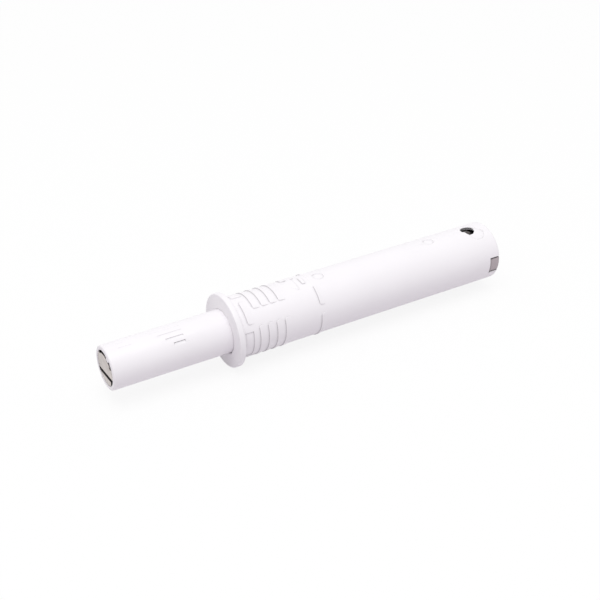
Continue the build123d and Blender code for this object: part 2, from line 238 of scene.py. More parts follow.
class InsideSizes(PropertyGroup):
    """Sizes of the spring, the wire and the strip."""

    wire: mm("Spring wire", "Thickness of the spring's wire", 0.45)
    seat: mm("Spring seat", "Where the spring starts in the slider", 10.02)
    end: mm("Spring end", "Where the spring ends on the plug", 47)
    radius: mm("Spring radius", "Middle radius of the coils", 1.374)
    turns: number("Active turns", "Turns between the closed ends", 7)
    closed_turns: number("Closed turns", "Turns that lie close at each end", 1.5)
    pivot: mm("Pivot", "Place of the wire's rear leg", 48.3)
    pin: mm("Pin", "Place of the wire's front leg", 27.44)
    lane: mm("Lane", "How far the front leg is to one side", 0.8)
    height: mm("Wire height", "Height of the wire's long run", 3.4292)
    pivot_depth: mm("Pivot depth", "Length of the rear leg", 2.2)
    pin_end: mm("Pin end", "Lowest point of the front leg", 2.3292)
    bend: mm("Wire bend", "Radius of the bends", 0.8)
    diameter: mm("Wire diameter", "Follower wire", 0.8)
    leaf_width: mm("Strip width", "Steel strip", 2)
    leaf_low: mm("Strip underside", "Height of the strip's underside", 3.8792)
    leaf_top: mm("Strip top", "Height of its top", 4.0792)
    leaf_start: mm("Strip start", "Front end of the strip", 31)
    leaf_end: mm("Strip end", "Rear end of the strip", 49.3)
    pip_place: mm("Pip place", "Pip on the strip, under the side hole", 45.7)
    pip_radius: mm("Pip radius", "Pip on the strip", 0.85)
    pip_oval: number("Pip oval", "Its width as a share of its length", 0.5)
    pip_angle: deg("Pip angle", "Turn of its length from Y", 29.0)
    pip_top: mm("Pip top", "Height of its top", 4.5)
    pip_edge: mm("Pip edge", "Rounding of its top", 0.3)


class PlugSizes(PropertyGroup):
    """Sizes of the end plug."""

    front: mm("Front", "Front of the disc", 47)
    rear: mm("Rear", "Back of the disc", 49.3)
    disc_radius: mm("Disc radius", "Disc", 4.22)
    edge: mm("Edge", "Rounding of the edges", 0.1)
    leaf_slot: mm("Strip slot", "Width of the slot for the strip", 2.06)
    slot_floor: mm("Slot floor", "Height of the slot's floor", 3.849)
    key_groove: mm("Key groove", "Width of the groove at the bottom", 1.2)
    groove_top: mm("Groove top", "Height of that groove's roof", -3.7)
    key_width: mm("Key width", "Key that fills the notch", 2.8)
    key_radius: mm("Key radius", "Outside of the key", 4.72)
    key_foot: mm("Key foot", "Where the key starts", 3.6)
    key_rear: mm("Key end", "Rear end of the key", 49.45)
    key_top_gap: mm("Key top gap", "Gap between the key and the notch's upper wall", 0.2)
    key_angle: deg("Key angle", "Place of the key", 94.5)
    key_start: mm("Key start", "Front end of the key", 47.55)
    stem_length: mm("Stem length", "Stem inside the spring", 12)
    stem_tip: mm("Stem tip", "Radius of the stem's tip", 0.6)
    stem_radius: mm("Stem radius", "Stem", 0.899)
    pocket: mm("Pocket width", "Pocket for the wire", 1.3)
    pocket_floor: mm("Pocket floor", "Height of the pocket's floor", 2.579)
    pocket_end: mm("Pocket end", "Back of the pocket", 48.75)
    pivot: mm("Pivot", "Place of the wire's leg", 48.3)
    well_radius: mm("Well radius", "Hole for the wire's leg", 0.45)
    well_floor: mm("Well floor", "Bottom of that hole", 1.129)


# Materials


def principled(name):
    """A new material and its Principled shader."""
    material = bpy.data.materials.new(name)
    material.use_nodes = True
    return material, material.node_tree.nodes["Principled BSDF"]


def dress(shape, material):
    """Gives a piece its material."""
    shape.data.materials.clear()
    shape.data.materials.append(material)


def feed(tree, sockets, inputs):
    """Feeds a node's inputs, each with a value or with another node's output."""
    for key, value in inputs.items():
        if isinstance(value, bpy.types.NodeSocket):
            tree.links.new(value, sockets[key])
        else:
            sockets[key].default_value = value


def add(tree, kind, inputs=None, **options):
    """Adds a node with its options and inputs."""
    made = tree.nodes.new("ShaderNode" + kind)
    for key, value in options.items():
        setattr(made, key, value)
    feed(tree, made.inputs, inputs or {})
    return made


def blend(tree, share, first, second):
    """A mix of two colours."""
    return add(tree, "Mix", {0: share, 6: first, 7: second}, data_type="RGBA").outputs[2]


def mixed_value(tree, share, first, second):
    """A mix of two values."""
    return add(tree, "Mix", {0: share, 2: first, 3: second}, data_type="FLOAT").outputs[0]


def remap(tree, value, low, high, to_low=0.0, to_high=1.0):
    """A value stretched from one range to another, and kept within it."""
    sockets = {"Value": value, "From Min": low, "From Max": high, "To Min": to_low, "To Max": to_high}
    return add(tree, "MapRange", sockets).outputs["Result"]


def in_millimetres(tree, stretch=(1.0, 1.0, 1.0)):
    """The place on the piece in millimetres, drawn out along the axes whose stretch is under 1."""
    place = add(tree, "TexCoord").outputs["Object"]
    scale = [share / MM for share in stretch]
    return add(tree, "VectorMath", {0: place, 1: scale}, operation="MULTIPLY").outputs[0]


def noise(tree, place, scale, detail, roughness=0.5):
    """Noise from 0 to 1."""
    sockets = {"Vector": place, "Scale": scale, "Detail": detail, "Roughness": roughness}
    return add(tree, "TexNoise", sockets).outputs[0]


def new_group(name, inputs, outputs):
    """An empty node group with its sockets, and its two end nodes."""
    tree = bpy.data.node_groups.new(name, "ShaderNodeTree")
    for title, kind in inputs.items():
        tree.interface.new_socket(title, in_out="INPUT", socket_type="NodeSocket" + kind)
    for title, kind in outputs.items():
        tree.interface.new_socket(title, in_out="OUTPUT", socket_type="NodeSocket" + kind)
    given = tree.nodes.new("NodeGroupInput").outputs
    result = tree.nodes.new("NodeGroupOutput").inputs
    return tree, given, result


# Rays that each point sends out to look for creases and edges
SHADE_SAMPLES = 12

# Share of the sky that a point still sees in a full crease of its own and in a gap, where the painted shade
# is full, and on an open face, where it ends
CREASE_CLOSED = 0.62
GAP_CLOSED = 0.72
OPEN_FACE = 0.97

# The middle of the noise's range, where nearly all of it lies, also for the mottle of metal
NOISE_SPAN = (0.35, 0.65)
MOTTLE_SPAN = (0.32, 0.68)

# How far flow lines in plastic and drawn lines in metal are stretched along the latch
FLOW_STRETCH = (0.1, 1.0, 1.0)
DRAWN_STRETCH = (0.06, 1.0, 1.0)


def crease_shade(name, own_relief=True, closed=CREASE_CLOSED):
    """Paints shade into a colour in the corners of a relief, fully where this share of the sky or less is
    seen.
    """
    sockets = {"Colour": "Color", "Shade": "Color", "Reach": "Float"}
    tree, given, result = new_group(name, sockets, {"Colour": "Color"})
    options = {"samples": SHADE_SAMPLES, "only_local": own_relief}
    near = add(tree, "AmbientOcclusion", {"Distance": given["Reach"]}, **options)
    openness = remap(tree, near.outputs["AO"], closed, OPEN_FACE)
    tree.links.new(blend(tree, openness, given["Shade"], given["Colour"]), result["Colour"])
    return tree


def gap_shade(name):
    """The same for a piece that never moves against its neighbours, into whose gaps it paints shade too."""
    return crease_shade(name, own_relief=False, closed=GAP_CLOSED)


def worn_highlit_edges(name):
    """Finds the outer edges of a piece, within a reach in metres, and breaks them up a little. The mask
    lightens edges: partly wear, partly a painted highlight.
    """
    tree, given, result = new_group(name, {"Reach": "Float", "Breaks": "Float"}, {"Highlight and wear": "Float"})
    options = {"samples": SHADE_SAMPLES, "inside": True, "only_local": True}
    inside = add(tree, "AmbientOcclusion", {"Distance": given["Reach"]}, **options)
    edge = remap(tree, inside.outputs["AO"], low=0.95, high=0.55)
    patches = noise(tree, in_millimetres(tree), given["Breaks"], detail=4.0)
    kept = remap(tree, patches, low=0.3, high=0.6, to_low=0.35)
    highlit_wear = add(tree, "Math", {0: edge, 1: kept}, operation="MULTIPLY").outputs[0]
    tree.links.new(highlit_wear, result["Highlight and wear"])
    return tree


def moulded_skin(name):
    """Moulded plastic: broad changes of tone, flow lines along the latch, and a fine grain."""
    sockets = {"Grain per mm": "Float", "Flow share": "Float"}
    outputs = {"Tone": "Float", "Dull": "Float", "Height": "Float"}
    tree, given, result = new_group(name, sockets, outputs)
    place = in_millimetres(tree)
    broad = noise(tree, place, scale=0.16, detail=3.0)
    tree.links.new(remap(tree, broad, *NOISE_SPAN), result["Tone"])
    flow = noise(tree, in_millimetres(tree, FLOW_STRETCH), scale=1.3, detail=4.0, roughness=0.6)
    grain = noise(tree, place, given["Grain per mm"], detail=3.0, roughness=0.55)
    mixed = mixed_value(tree, given["Flow share"], grain, flow)
    tree.links.new(remap(tree, mixed, *NOISE_SPAN), result["Dull"])
    tree.links.new(grain, result["Height"])
    return tree


def metal_marks(name):
    """Plated or drawn metal: a mottled tone, and fine lines along the latch."""
    sockets = {"Mottle per mm": "Float", "Lines per mm": "Float", "Lines share": "Float"}
    tree, given, result = new_group(name, sockets, {"Tone": "Float", "Height": "Float"})
    mottle = noise(tree, in_millimetres(tree), given["Mottle per mm"], detail=5.0, roughness=0.6)
    lines = noise(tree, in_millimetres(tree, DRAWN_STRETCH), given["Lines per mm"], detail=3.0)
    mixed = mixed_value(tree, given["Lines share"], mottle, lines)
    tree.links.new(remap(tree, mixed, *MOTTLE_SPAN), result["Tone"])
    tree.links.new(mixed, result["Height"])
    return tree


EFFECTS = {
    "crease shade": crease_shade,
    "gap shade": gap_shade,
    "worn edges": worn_highlit_edges,
    "moulded skin": moulded_skin,
    "metal marks": metal_marks,
}


def effect(tree, name, inputs):
    """Places a shared effect in a material with its own values."""
    placed = tree.nodes.new("ShaderNodeGroup")
    placed.node_tree = bpy.data.node_groups.get(name) or EFFECTS[name](name)
    feed(tree, placed.inputs, inputs)
    return placed.outputs


def raise_skin(tree, shader, height, depth):
    """Feeds a height to the shader's normal. The depth is in millimetres."""
    bump = add(tree, "Bump", {"Height": height, "Distance": depth * MM, "Strength": 1.0})
    tree.links.new(bump.outputs["Normal"], shader.inputs["Normal"])


def scaled(colour, share):
    """A colour for a socket, lighter or darker by a share."""
    return (*[min(1.0, part * share) for part in colour], 1.0)


# Plastic: its darkest tone as a share, how much the painted shade in a crease deepens the colour, grain and
# flow lines
PLASTIC_LOW = 0.985
CREASE_DEPTH = 1.15
GRAIN = {"Grain per mm": 7.0, "Flow share": 0.5}

# The grey plastic of the plug and the click ring: least and most roughness, and depth of the grain
PLUG_DULLNESS = (0.5, 0.66)
PLUG_GRAIN = 0.003

# Metal: the darkest and lightest of its mottle as shares, and the breaks per millimetre in its lighter edges,
# partly wear and partly a painted highlight
METAL_SPAN = (0.78, 1.2)
WEAR_HIGHLIGHT_BREAKS = 2.5


def plastic(name, colour, dullness, depth, shade=0.5, reach=0.45, corners="crease shade", gloss=0.5):
    """A moulded plastic. Dullness is its least and most roughness, depth that of its grain in
    millimetres, shade the tone of the painted shade in corners, and reach how far from a corner that begins."""
    material, shader = principled(name)
    tree = material.node_tree
    skin = effect(tree, "moulded skin", GRAIN)
    tone = blend(tree, skin["Tone"], scaled(colour, PLASTIC_LOW), scaled(colour, 1.0))
    dark = scaled([part**CREASE_DEPTH for part in colour], shade)
    crease = effect(tree, corners, {"Colour": tone, "Shade": dark, "Reach": reach * MM})
    rough = remap(tree, skin["Dull"], 0.0, 1.0, *dullness)
    looks = {"Base Color": crease["Colour"], "Roughness": rough, "Specular IOR Level": gloss}
    feed(tree, shader.inputs, looks)
    raise_skin(tree, shader, skin["Height"], depth)
    return material


def metal(name, colour, dullness, marks, wear_and_highlight, wear_highlight_reach=0.12, shade=0.04, reach=0.8):
    """A plated or drawn metal. Marks are its mottle and its lines, both per millimetre, the share of
    the lines and the depth. The tone of its edges, as a share, is partly wear and partly a painted
    highlight. Shade is the tone of the painted shade in its gaps, within reach."""
    material, shader = principled(name)
    tree = material.node_tree
    mottle, lines, lines_share, depth = marks
    values = {"Mottle per mm": mottle, "Lines per mm": lines, "Lines share": lines_share}
    surface = effect(tree, "metal marks", values)
    tone = blend(tree, surface["Tone"], *[scaled(colour, share) for share in METAL_SPAN])
    # Lighter edges: partly wear, partly a painted highlight
    highlit_wear = effect(tree, "worn edges", {"Reach": wear_highlight_reach * MM, "Breaks": WEAR_HIGHLIGHT_BREAKS})
    tone = blend(tree, highlit_wear["Highlight and wear"], tone, scaled(colour, wear_and_highlight))
    # Painted shade in the gaps between this metal and its neighbours
    dark = scaled(colour, shade)
    crease = effect(tree, "gap shade", {"Colour": tone, "Shade": dark, "Reach": reach * MM})
    rough = remap(tree, surface["Tone"], 0.0, 1.0, *dullness)
    feed(tree, shader.inputs, {"Base Color": crease["Colour"], "Roughness": rough, "Metallic": 1.0})
    raise_skin(tree, shader, surface["Height"], depth)
    return material


# Shapes

# How far a wire's rounded end draws in, as a share of its radius
WIRE_END_SHARE = 0.35

# Edges that turn by more degrees than this are shaded sharp
SHARP_ANGLE = 40.0

# Points closer than this, in metres, are one
SAME_POINT = 1e-7

# Width of a small chamfer
CHAMFER = 0.05

# Slack, in millimetres or degrees, for a grid line on a border, and for one on a rib or a key
SLACK = 1e-3
ON_KEY = 0.01


def ease(value):
    """A soft step from 0 to 1."""
    value = min(max(value, 0.0), 1.0)
    return value * value * (3.0 - 2.0 * value)


def spread(start, end, steps):
    """Even steps from one value to another, both included."""
    return [start + (end - start) * i / steps for i in range(steps + 1)]


def turn_from(angle, middle):
    """The signed turn from one angle to another, within half a turn."""
    return (angle - middle + 180.0) % 360.0 - 180.0


def half_angle(width, radius):
    """Half the angle, in degrees, that a width takes up at a radius."""
    return math.degrees(math.asin(width / 2 / radius))


def on_axis(x, radius, angle):
    """The place at a radius and an angle (in degrees, from +Z towards -Y) round the latch's axis."""
    turn = math.radians(angle)
    return (x, -radius * math.sin(turn), radius * math.cos(turn))


def polar(radius, angle):
    """The (y, z) point at a radius and an angle that is counted in the same way."""
    return Vector(on_axis(0.0, radius, angle)[1:])


def soft_ends(at, length, soft, shares=(0.0, 0.5, 1.0)):
    """Grid lines over the soft walls at both ends of a relief."""
    return [at + soft * share for share in shares] + [at + length - soft * share for share in shares]


def grid_lines(fixed, zones, start, end):
    """Places from start to end: every fixed one, and between them no gap wider than its zone allows."""
    edges = [edge for zone in zones for edge in zone[:2]]
    places = sorted({round(p, 4) for p in (start, end, *fixed, *edges) if start <= p <= end})
    found = [places[0]]
    for low, high in zip(places, places[1:]):
        middle = (low + high) / 2
        step = min(zone[2] for zone in zones if zone[0] <= middle <= zone[1])
        found += spread(low, high, max(1, math.ceil((high - low) / step - 1e-6)))[1:]
    return found


def arc_points(x, radius, size, start, end, steps):
    """Points of a profile's rounded corner about a centre at (x, radius), angles in degrees from +X."""
    turns = [math.radians(turn) for turn in spread(start, end, steps)]
    return [(x + size * math.cos(t), radius + size * math.sin(t)) for t in turns]


def run(side, points):
    """Points of a profile that all lie on one named side."""
    return [(x, radius, side) for x, radius in points]


def round_corner(corner, before, after, radius, steps):
    """Points of the arc that rounds one corner of an outline."""
    to_before = (before - corner).normalized()
    to_after = (after - corner).normalized()
    half = to_before.angle(to_after) / 2
    reach = radius / math.tan(half)
    centre = corner + (to_before + to_after).normalized() * (radius / math.sin(half))
    first = (corner + to_before * reach - centre).normalized()
    last = (corner + to_after * reach - centre).normalized()
    return [centre + first.slerp(last, share) * radius for share in spread(0.0, 1.0, steps)]


def rounded(points, radius, steps=3, closed=True):
    """An outline or a route with its corners rounded, all by one radius or each by its own."""
    corners = [Vector(p) for p in points]
    radii = radius if isinstance(radius, list) else [radius] * len(corners)
    out = []
    for i, corner in enumerate(corners):
        if radii[i] <= 0 or (not closed and i in (0, len(corners) - 1)):
            out.append(corner)
            continue
        after = corners[(i + 1) % len(corners)]
        out += round_corner(corner, corners[i - 1], after, radii[i], steps)
    return out


def soften(shape):
    """Smooth shading, with sharp edges kept."""
    shape.data.shade_smooth()
    shape.data.set_sharp_from_angle(angle=math.radians(SHARP_ANGLE))


def mesh_object(name, points, faces):
    """A smooth object from points in millimetres."""
    mesh = bpy.data.meshes.new(name)
    mesh.from_pydata([(p[0] * MM, p[1] * MM, p[2] * MM) for p in points], [], faces)
    mesh.validate()
    shape = place_object(name, mesh)
    soften(shape)
    return shape


def place_object(name, data):
    """A new object, in the scene."""
    made = bpy.data.objects.new(name, data)
    bpy.context.scene.collection.objects.link(made)
    return made


def bridge(near, far):
    """Faces between two rings of point numbers."""
    return [(near[i - 1], near[i], far[i], far[i - 1]) for i in range(len(near))]


def capped(name, rings):
    """A solid from rings of points, one after another along it, closed at both ends."""
    count = len(rings[0])
    numbers = [range(k * count, (k + 1) * count) for k in range(len(rings))]
    faces = [face for near, far in zip(numbers, numbers[1:]) for face in bridge(near, far)]
    faces += [tuple(reversed(numbers[0])), tuple(numbers[-1])]
    return mesh_object(name, [point for ring in rings for point in ring], faces)


def grid_faces(rows, columns, leave_out=None):
    """Faces of a grid whose rows and columns both close on themselves."""
    faces = []
    for k in range(rows):
        here, there = k * columns, (k + 1) % rows * columns
        for j in range(columns):
            after = (j + 1) % columns
            if not leave_out or not leave_out(k, j):
                faces.append((here + j, here + after, there + after, there + j))
    return faces


def prism(name, outline, x_from, x_to, edge, steps=3):
    """An outline of (y, z) points drawn along X, with its edges rounded at both ends."""
    flat = [Vector((p[0], p[1])) for p in outline]
    area = sum(a.x * b.y - b.x * a.y for a, b in zip(flat, flat[1:] + flat[:1]))
    if area < 0:
        flat.reverse()
    inward = []
    for i, point in enumerate(flat):
        before = (point - flat[i - 1]).normalized()
        after = (flat[(i + 1) % len(flat)] - point).normalized()
        normals = Vector((-before.y, before.x)), Vector((-after.y, after.x))
        middle = (normals[0] + normals[1]).normalized()
        inward.append(middle / max(0.5, middle.dot(normals[0])))
    turns = [math.radians(turn) for turn in spread(0.0, 90.0, steps)]
    rounding = [(edge * (1 - math.sin(t)), edge * (1 - math.cos(t))) for t in turns]
    ends = [(x_from + x, shrink) for x, shrink in reversed(rounding)]
    ends += [(x_to - x, shrink) for x, shrink in rounding]
    rings = [[(x, p.x + n.x * size, p.y + n.y * size) for p, n in zip(flat, inward)] for x, size in ends]
    return capped(name, rings)


def tube(name, route, radius, sides):
    """A round wire along a route of points, with softly rounded ends."""
    path = [Vector(p) for p in route]
    last = len(path) - 1
    ahead = [(path[min(i + 1, last)] - path[max(i - 1, 0)]).normalized() for i in range(last + 1)]
    side = ahead[0].orthogonal().normalized()
    circles = []
    for place, forward in zip(path, ahead):
        side = (side - forward * side.dot(forward)).normalized()
        circles.append((place, side.copy(), forward.cross(side), radius))
    bevel = radius * WIRE_END_SHARE
    start, end = circles[0], circles[-1]
    circles[0] = (start[0] + ahead[0] * bevel, *start[1:])
    circles[-1] = (end[0] - ahead[-1] * bevel, *end[1:])
    circles = [(*start[:3], radius - bevel), *circles, (*end[:3], radius - bevel)]
    turns = [2 * math.pi * i / sides for i in range(sides)]
    rings = []
    for place, across, up, size in circles:
        rings.append([place + (across * math.cos(t) + up * math.sin(t)) * size for t in turns])
    return capped(name, rings)


def turned_solid(name, profile, sides):
    """A solid turned round X from (x, radius) points, in the order of X, flat at both ends."""
    angles = [360.0 * i / sides for i in range(sides)]
    return capped(name, [[on_axis(x, radius, angle) for angle in angles] for x, radius in profile])


def stand_up(shape, x, z):
    """Turns a solid that was made round X so that it points up, and puts its foot at a place."""
    for point in shape.data.vertices:
        point.co = (x * MM - point.co.z, point.co.y, z * MM + point.co.x)


def combine(shape, other, operation):
    """Adds another solid to this one, or cuts it away, and removes the other."""
    modifier = shape.modifiers.new("combine", "BOOLEAN")
    modifier.object = other
    modifier.operation = operation
    modifier.solver = "EXACT"
    graph = bpy.context.evaluated_depsgraph_get()
    mesh = bpy.data.meshes.new_from_object(shape.evaluated_get(graph))
    shape.modifiers.clear()
    shape.data = mesh
    bpy.data.objects.remove(other)


def settle_normals(shape):
    """Joins doubled points, drops loose ones and points every face outwards."""
    mesh = bmesh.new()
    mesh.from_mesh(shape.data)
    bmesh.ops.remove_doubles(mesh, verts=mesh.verts, dist=SAME_POINT)
    bmesh.ops.recalc_face_normals(mesh, faces=mesh.faces)
    loose = [v for v in mesh.verts if not v.link_faces]
    bmesh.ops.delete(mesh, geom=loose, context="VERTS")
    mesh.to_mesh(shape.data)
    mesh.free()


def place_piece(shape, body, node, material):
    """Gives a piece its finish and its body, and hides the CAD node that it stands for."""
    settle_normals(shape)
    dress(shape, material)
    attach(shape, body)
    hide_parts(node)


# Housing

# Reliefs that come once on each side: place along the latch, length, first angle and sweep
WINDOW = (0.5, 1.5, 71.0, 60.0)
TAB = (0.9, 1.7, -44.0, 38.0)
PAD = (1.25, 1.15, 10.0, 48.0)
STOP_RIB = (14.0, 0.9, 78.0, 164.0)

# The gripping ribs: how many, and the length, first angle and sweep of each
RIB_COUNT = 4
RIB_SPAN = (1.2, 64.0, 148.0)

# The stop rib is lower over the top: middle and half of that stretch, its run-out, and the share left
STOP_DIP = (0.0, 28.0, 8.0, 0.3)

# The two bars beside the arrow on top, in the same order of values as the reliefs
BARS = ((12.65, 0.6, -8.0, 20.0), (9.9, 2.3, -34.0, 20.0))

# The arrow head's height at its tip, as a share, and the width of its walls
ARROW_LOW = 0.15
ARROW_SOFT = 0.12

# Round marks: place along the latch, angle and radius. Their walls are this wide
ROUND_MARKS = ((16.0, 2.0, 0.95), (37.6, 0.0, 0.95), (46.6, 16.6, 1.46))
MARK_SOFT = 0.1

# The slope at the flange's foot: places behind the flange's seat, and heights above the body. The grid
# with the reliefs starts where it ends
FOOT_SLOPE = ((0.0, 0.32), (0.04, 0.23), (0.12, 0.17), (0.26, 0.07), (0.41, 0.01))
FOOT_END = 0.46

# Lines on the flange's flat faces: outside the mouth, and inside the rim at the front and at the back
MOUTH_LINE = 0.5
RIM_LINE = 0.15
BACK_LINE = 0.1

# Small edges: round the bore at the rear, and the length and width of the one behind the mouth's floor
BORE_EDGE = 0.12
GUIDE_EDGE = (0.04, 0.01)

# Widest steps of the grid along the sleeve, plain and on marks, in millimetres
PLAIN_STEP = 3.0
MARK_STEP = 0.1

# Widest steps round it and over the top, half of the top's stretch, and the closest lines, in degrees
ROUND_STEP = 3.0
TOP_STEP = 1.3
TOP_HALF = 37.0
CLOSEST_LINES = 0.12

# Grid lines over a rib's ends in steps of the soft edge, and over its corner as shares of the rounding
RIB_LINES = (0.0, 0.5, 1.0, 2.2, 3.5, 4.8, 6.0)
CORNER_LINES = (0.4, 0.7, 1.0)

# Degrees over which the key's foot, the small notch in the mouth and the lines of the bore that the
# rear notch turns run out
KEY_FOOT = 0.8
LIP_SOFT = 1.0
NOTCH_FADE = 25.0

# Degrees on each side over which the tooth in the hole's rim rises
TOOTH_SPREAD = 32.0

# How far each ring round the hole still follows the square of grid lines about it
HOLE_BLEND = (0.8, 0.6, 0.45, 0.3, 0.2, 0.1, 0.0)


def ribs(s):
    """Every sloping rib: the pad, the gripping ribs and the wider rib."""
    return [PAD, *[(s.rib_first + i * s.rib_pitch, *RIB_SPAN) for i in range(RIB_COUNT)], STOP_RIB]


def barb_relief(x, arc, at, length, half_arc, s):
    """Height of one sloping rib at a place. arc is the distance from the rib's middle along its curve."""
    if abs(arc) >= half_arc:
        return 0.0
    to_corner = at + s.rib_corner - x
    past_corner = abs(arc) - (half_arc - s.rib_corner)
    if to_corner > 0 and past_corner > 0:
        inside = s.rib_corner - math.hypot(to_corner, past_corner)
    else:
        inside = min(x - at, half_arc - abs(arc))
    slope = min(1.0, (at + length - x) / (length - s.rib_crest))
    return s.rib_height * ease(inside / s.edge_soft) * slope


def pad_relief(x, arc, at, length, half_arc, s):
    """1 on a low pad and 0 off it, with soft walls."""
    inside = min(x - at, at + length - x, half_arc - abs(arc))
    return ease(inside / s.edge_soft)


def arrow_relief(x, arc, s):
    """The plain arrow head, which points to the flange and rises from its tip to 1 at its foot."""
    along = x - s.arrow_tip
    inside = min((along * s.arrow_slope - abs(arc)) / math.hypot(1, s.arrow_slope), s.arrow_length - along)
    rise = ARROW_LOW + (1.0 - ARROW_LOW) * ease(along / s.arrow_length)
    return ease(inside / ARROW_SOFT) * rise


def stop_share(angle):
    """How much of its height the stop rib keeps at one angle."""
    middle, half, run_out, left = STOP_DIP
    return 1.0 - (1.0 - left) * ease((half - abs(turn_from(angle, middle))) / run_out)


def sleeve_relief(x, angle, s):
    """Height of everything that stands on or sinks into the sleeve's outside at one place."""
    per_degree = math.radians(1.0) * s.body_radius

    def on_pad(pad, side, relief=pad_relief):
        at, length, start, sweep = pad
        if not at <= x <= at + length:
            return 0.0
        arc = turn_from(angle, start + sweep / 2 + side) * per_degree
        return relief(x, arc, at, length, sweep / 2 * per_degree, s)

    height = 0.0
    for side in (0.0, 180.0):
        height += s.tab_height * on_pad(TAB, side) - s.window_depth * on_pad(WINDOW, side)
        for rib in ribs(s):
            share = stop_share(angle) if rib is STOP_RIB else 1.0
            height += on_pad(rib, side, barb_relief) * share
    marks = [on_pad(bar, 0.0) for bar in BARS]
    if s.arrow_tip < x < s.arrow_tip + s.arrow_length:
        marks.append(arrow_relief(x, turn_from(angle, 0.0) * per_degree, s))
    height += s.mark_height * max(marks)
    for at, turn, radius in ROUND_MARKS:
        if abs(x - at) < radius:
            inside = radius - math.hypot(x - at, turn_from(angle, turn) * per_degree)
            height -= s.round_depth * ease(inside / MARK_SOFT)
    return height


def hole_span(s):
    """Where the patch of skin round the hole starts and ends along the latch."""
    return s.hole_place - s.hole_field, s.hole_place + s.hole_field


def sleeve_angles(s):
    """Angles of the grid lines round the sleeve."""
    soft = math.degrees(s.edge_soft / s.body_radius)
    fixed = []
    for _, _, start, sweep in (WINDOW, TAB, *ribs(s)):
        for side in (0.0, 180.0):
            fixed += soft_ends(start + side, sweep, soft, RIB_LINES)
    for _, _, start, sweep in BARS:
        fixed += soft_ends(start, sweep, soft)
    notch = half_angle(s.notch_width, s.body_radius)
    hole = half_angle(2 * s.hole_field, s.body_radius)
    key = half_angle(s.key_width, s.bore_radius)
    lip = math.degrees(s.lip_notch_width / 2 / s.mouth_radius)
    borders = ((s.notch_angle, notch, 0.0), (s.hole_angle, hole, 0.0))
    borders += ((180.0, key, KEY_FOOT), (s.lip_notch_angle, lip, LIP_SOFT))
    for middle, half, foot in borders:
        fixed += [middle - half - foot, middle - half, middle + half, middle + half + foot]
    fixed = [line % 360.0 for line in fixed]
    zones = [(0.0, 360.0, ROUND_STEP), (0.0, TOP_HALF, TOP_STEP), (360.0 - TOP_HALF, 360.0, TOP_STEP)]
    lines = grid_lines(fixed, zones, 0.0, 360.0)[:-1]
    kept = [lines[0]]
    needed = {round(line, 4) for line in fixed}
    for line in lines[1:]:
        if line - kept[-1] > CLOSEST_LINES or round(line, 4) in needed:
            kept.append(line)
    return kept


def sleeve_places(s):
    """Places of the grid lines along the outside of the sleeve."""
    low, high = hole_span(s)
    fixed = [s.sleeve_length - s.notch_length]
    for at, length, _, _ in ribs(s):
        fixed += [at, at + s.edge_soft / 2, at + s.edge_soft, at + length]
        fixed += [at + s.rib_corner * share for share in CORNER_LINES]
    for at, length, _, _ in (WINDOW, TAB, *BARS):
        fixed += soft_ends(at, length, s.edge_soft)
    fine = [(low, high), (s.arrow_tip, s.arrow_tip + s.arrow_length)]
    fine += [(at - radius, at + radius) for at, _, radius in ROUND_MARKS]
    zones = [(0.0, s.sleeve_length, PLAIN_STEP), *[(*zone, MARK_STEP) for zone in fine]]
    return grid_lines(fixed, zones, FOOT_END, s.sleeve_length - s.rear_round - CHAMFER)


def sleeve_profile(s):
    """The sleeve's outline as (x, radius, side) points, once round: front, outside, rear and bore."""
    front, rear, step = -s.flange_thickness, s.sleeve_length, s.guide_length
    r, q, soft = s.flange_round, s.rear_round, s.edge_soft
    rim, body, bore, guide = s.flange_radius - r, s.body_radius, s.bore_radius, s.guide_radius
    floor = front + s.mouth_depth
    places = sleeve_places(s)
    low, high = hole_span(s)
    third = (low - step) / 3
    inner = [rear - s.notch_length, high, low, low - third, low - 2 * third]
    inner += [x for x in places if low < x < high]
    points = run("lip", [(front, s.mouth_radius + soft)])
    points += run("plain", [(front, s.mouth_radius + MOUTH_LINE), (front, rim - RIM_LINE)])
    points += run("plain", arc_points(front + r, rim, r, 180.0, 90.0, 4))
    points += run("plain", arc_points(-r, rim, r, 90.0, 0.0, 4))
    points += run("plain", [(0.0, rim - BACK_LINE), *[(x, body + height) for x, height in FOOT_SLOPE]])
    points += run("out", [(x, body) for x in places])
    points += run("plain", [*arc_points(rear - q, body - q, q, 90.0, 0.0, 4), (rear, bore + BORE_EDGE)])
    points += run("in", [(rear - BORE_EDGE / 4, bore + BORE_EDGE / 4), (rear - BORE_EDGE, bore)])
    points += run("in", [(x, bore) for x in sorted({round(x, 4) for x in inner}, reverse=True)])
    points += run("in", [(step + CHAMFER, bore), (step, bore - CHAMFER)])
    points += run("plain", [(step, guide + CHAMFER), (step - CHAMFER, guide)])
    points += run("plain", [(floor + GUIDE_EDGE[0], guide), (floor, guide + GUIDE_EDGE[1])])
    points += run("lip", [(floor, s.mouth_radius), (front + soft, s.mouth_radius)])
    return points


def notch_turn(off, radius, s):
    """Turns a line of the bore so that the notch's two walls stay flat and parallel."""
    half = half_angle(s.notch_width, s.body_radius)
    if abs(off) <= half + ON_KEY:
        across = s.body_radius * math.sin(math.radians(off))
        return math.degrees(math.asin(across / radius))
    shift = half_angle(s.notch_width, radius) - half
    fade = 1.0 - ease((abs(off) - half) / NOTCH_FADE)
    return off + math.copysign(shift * fade, off)


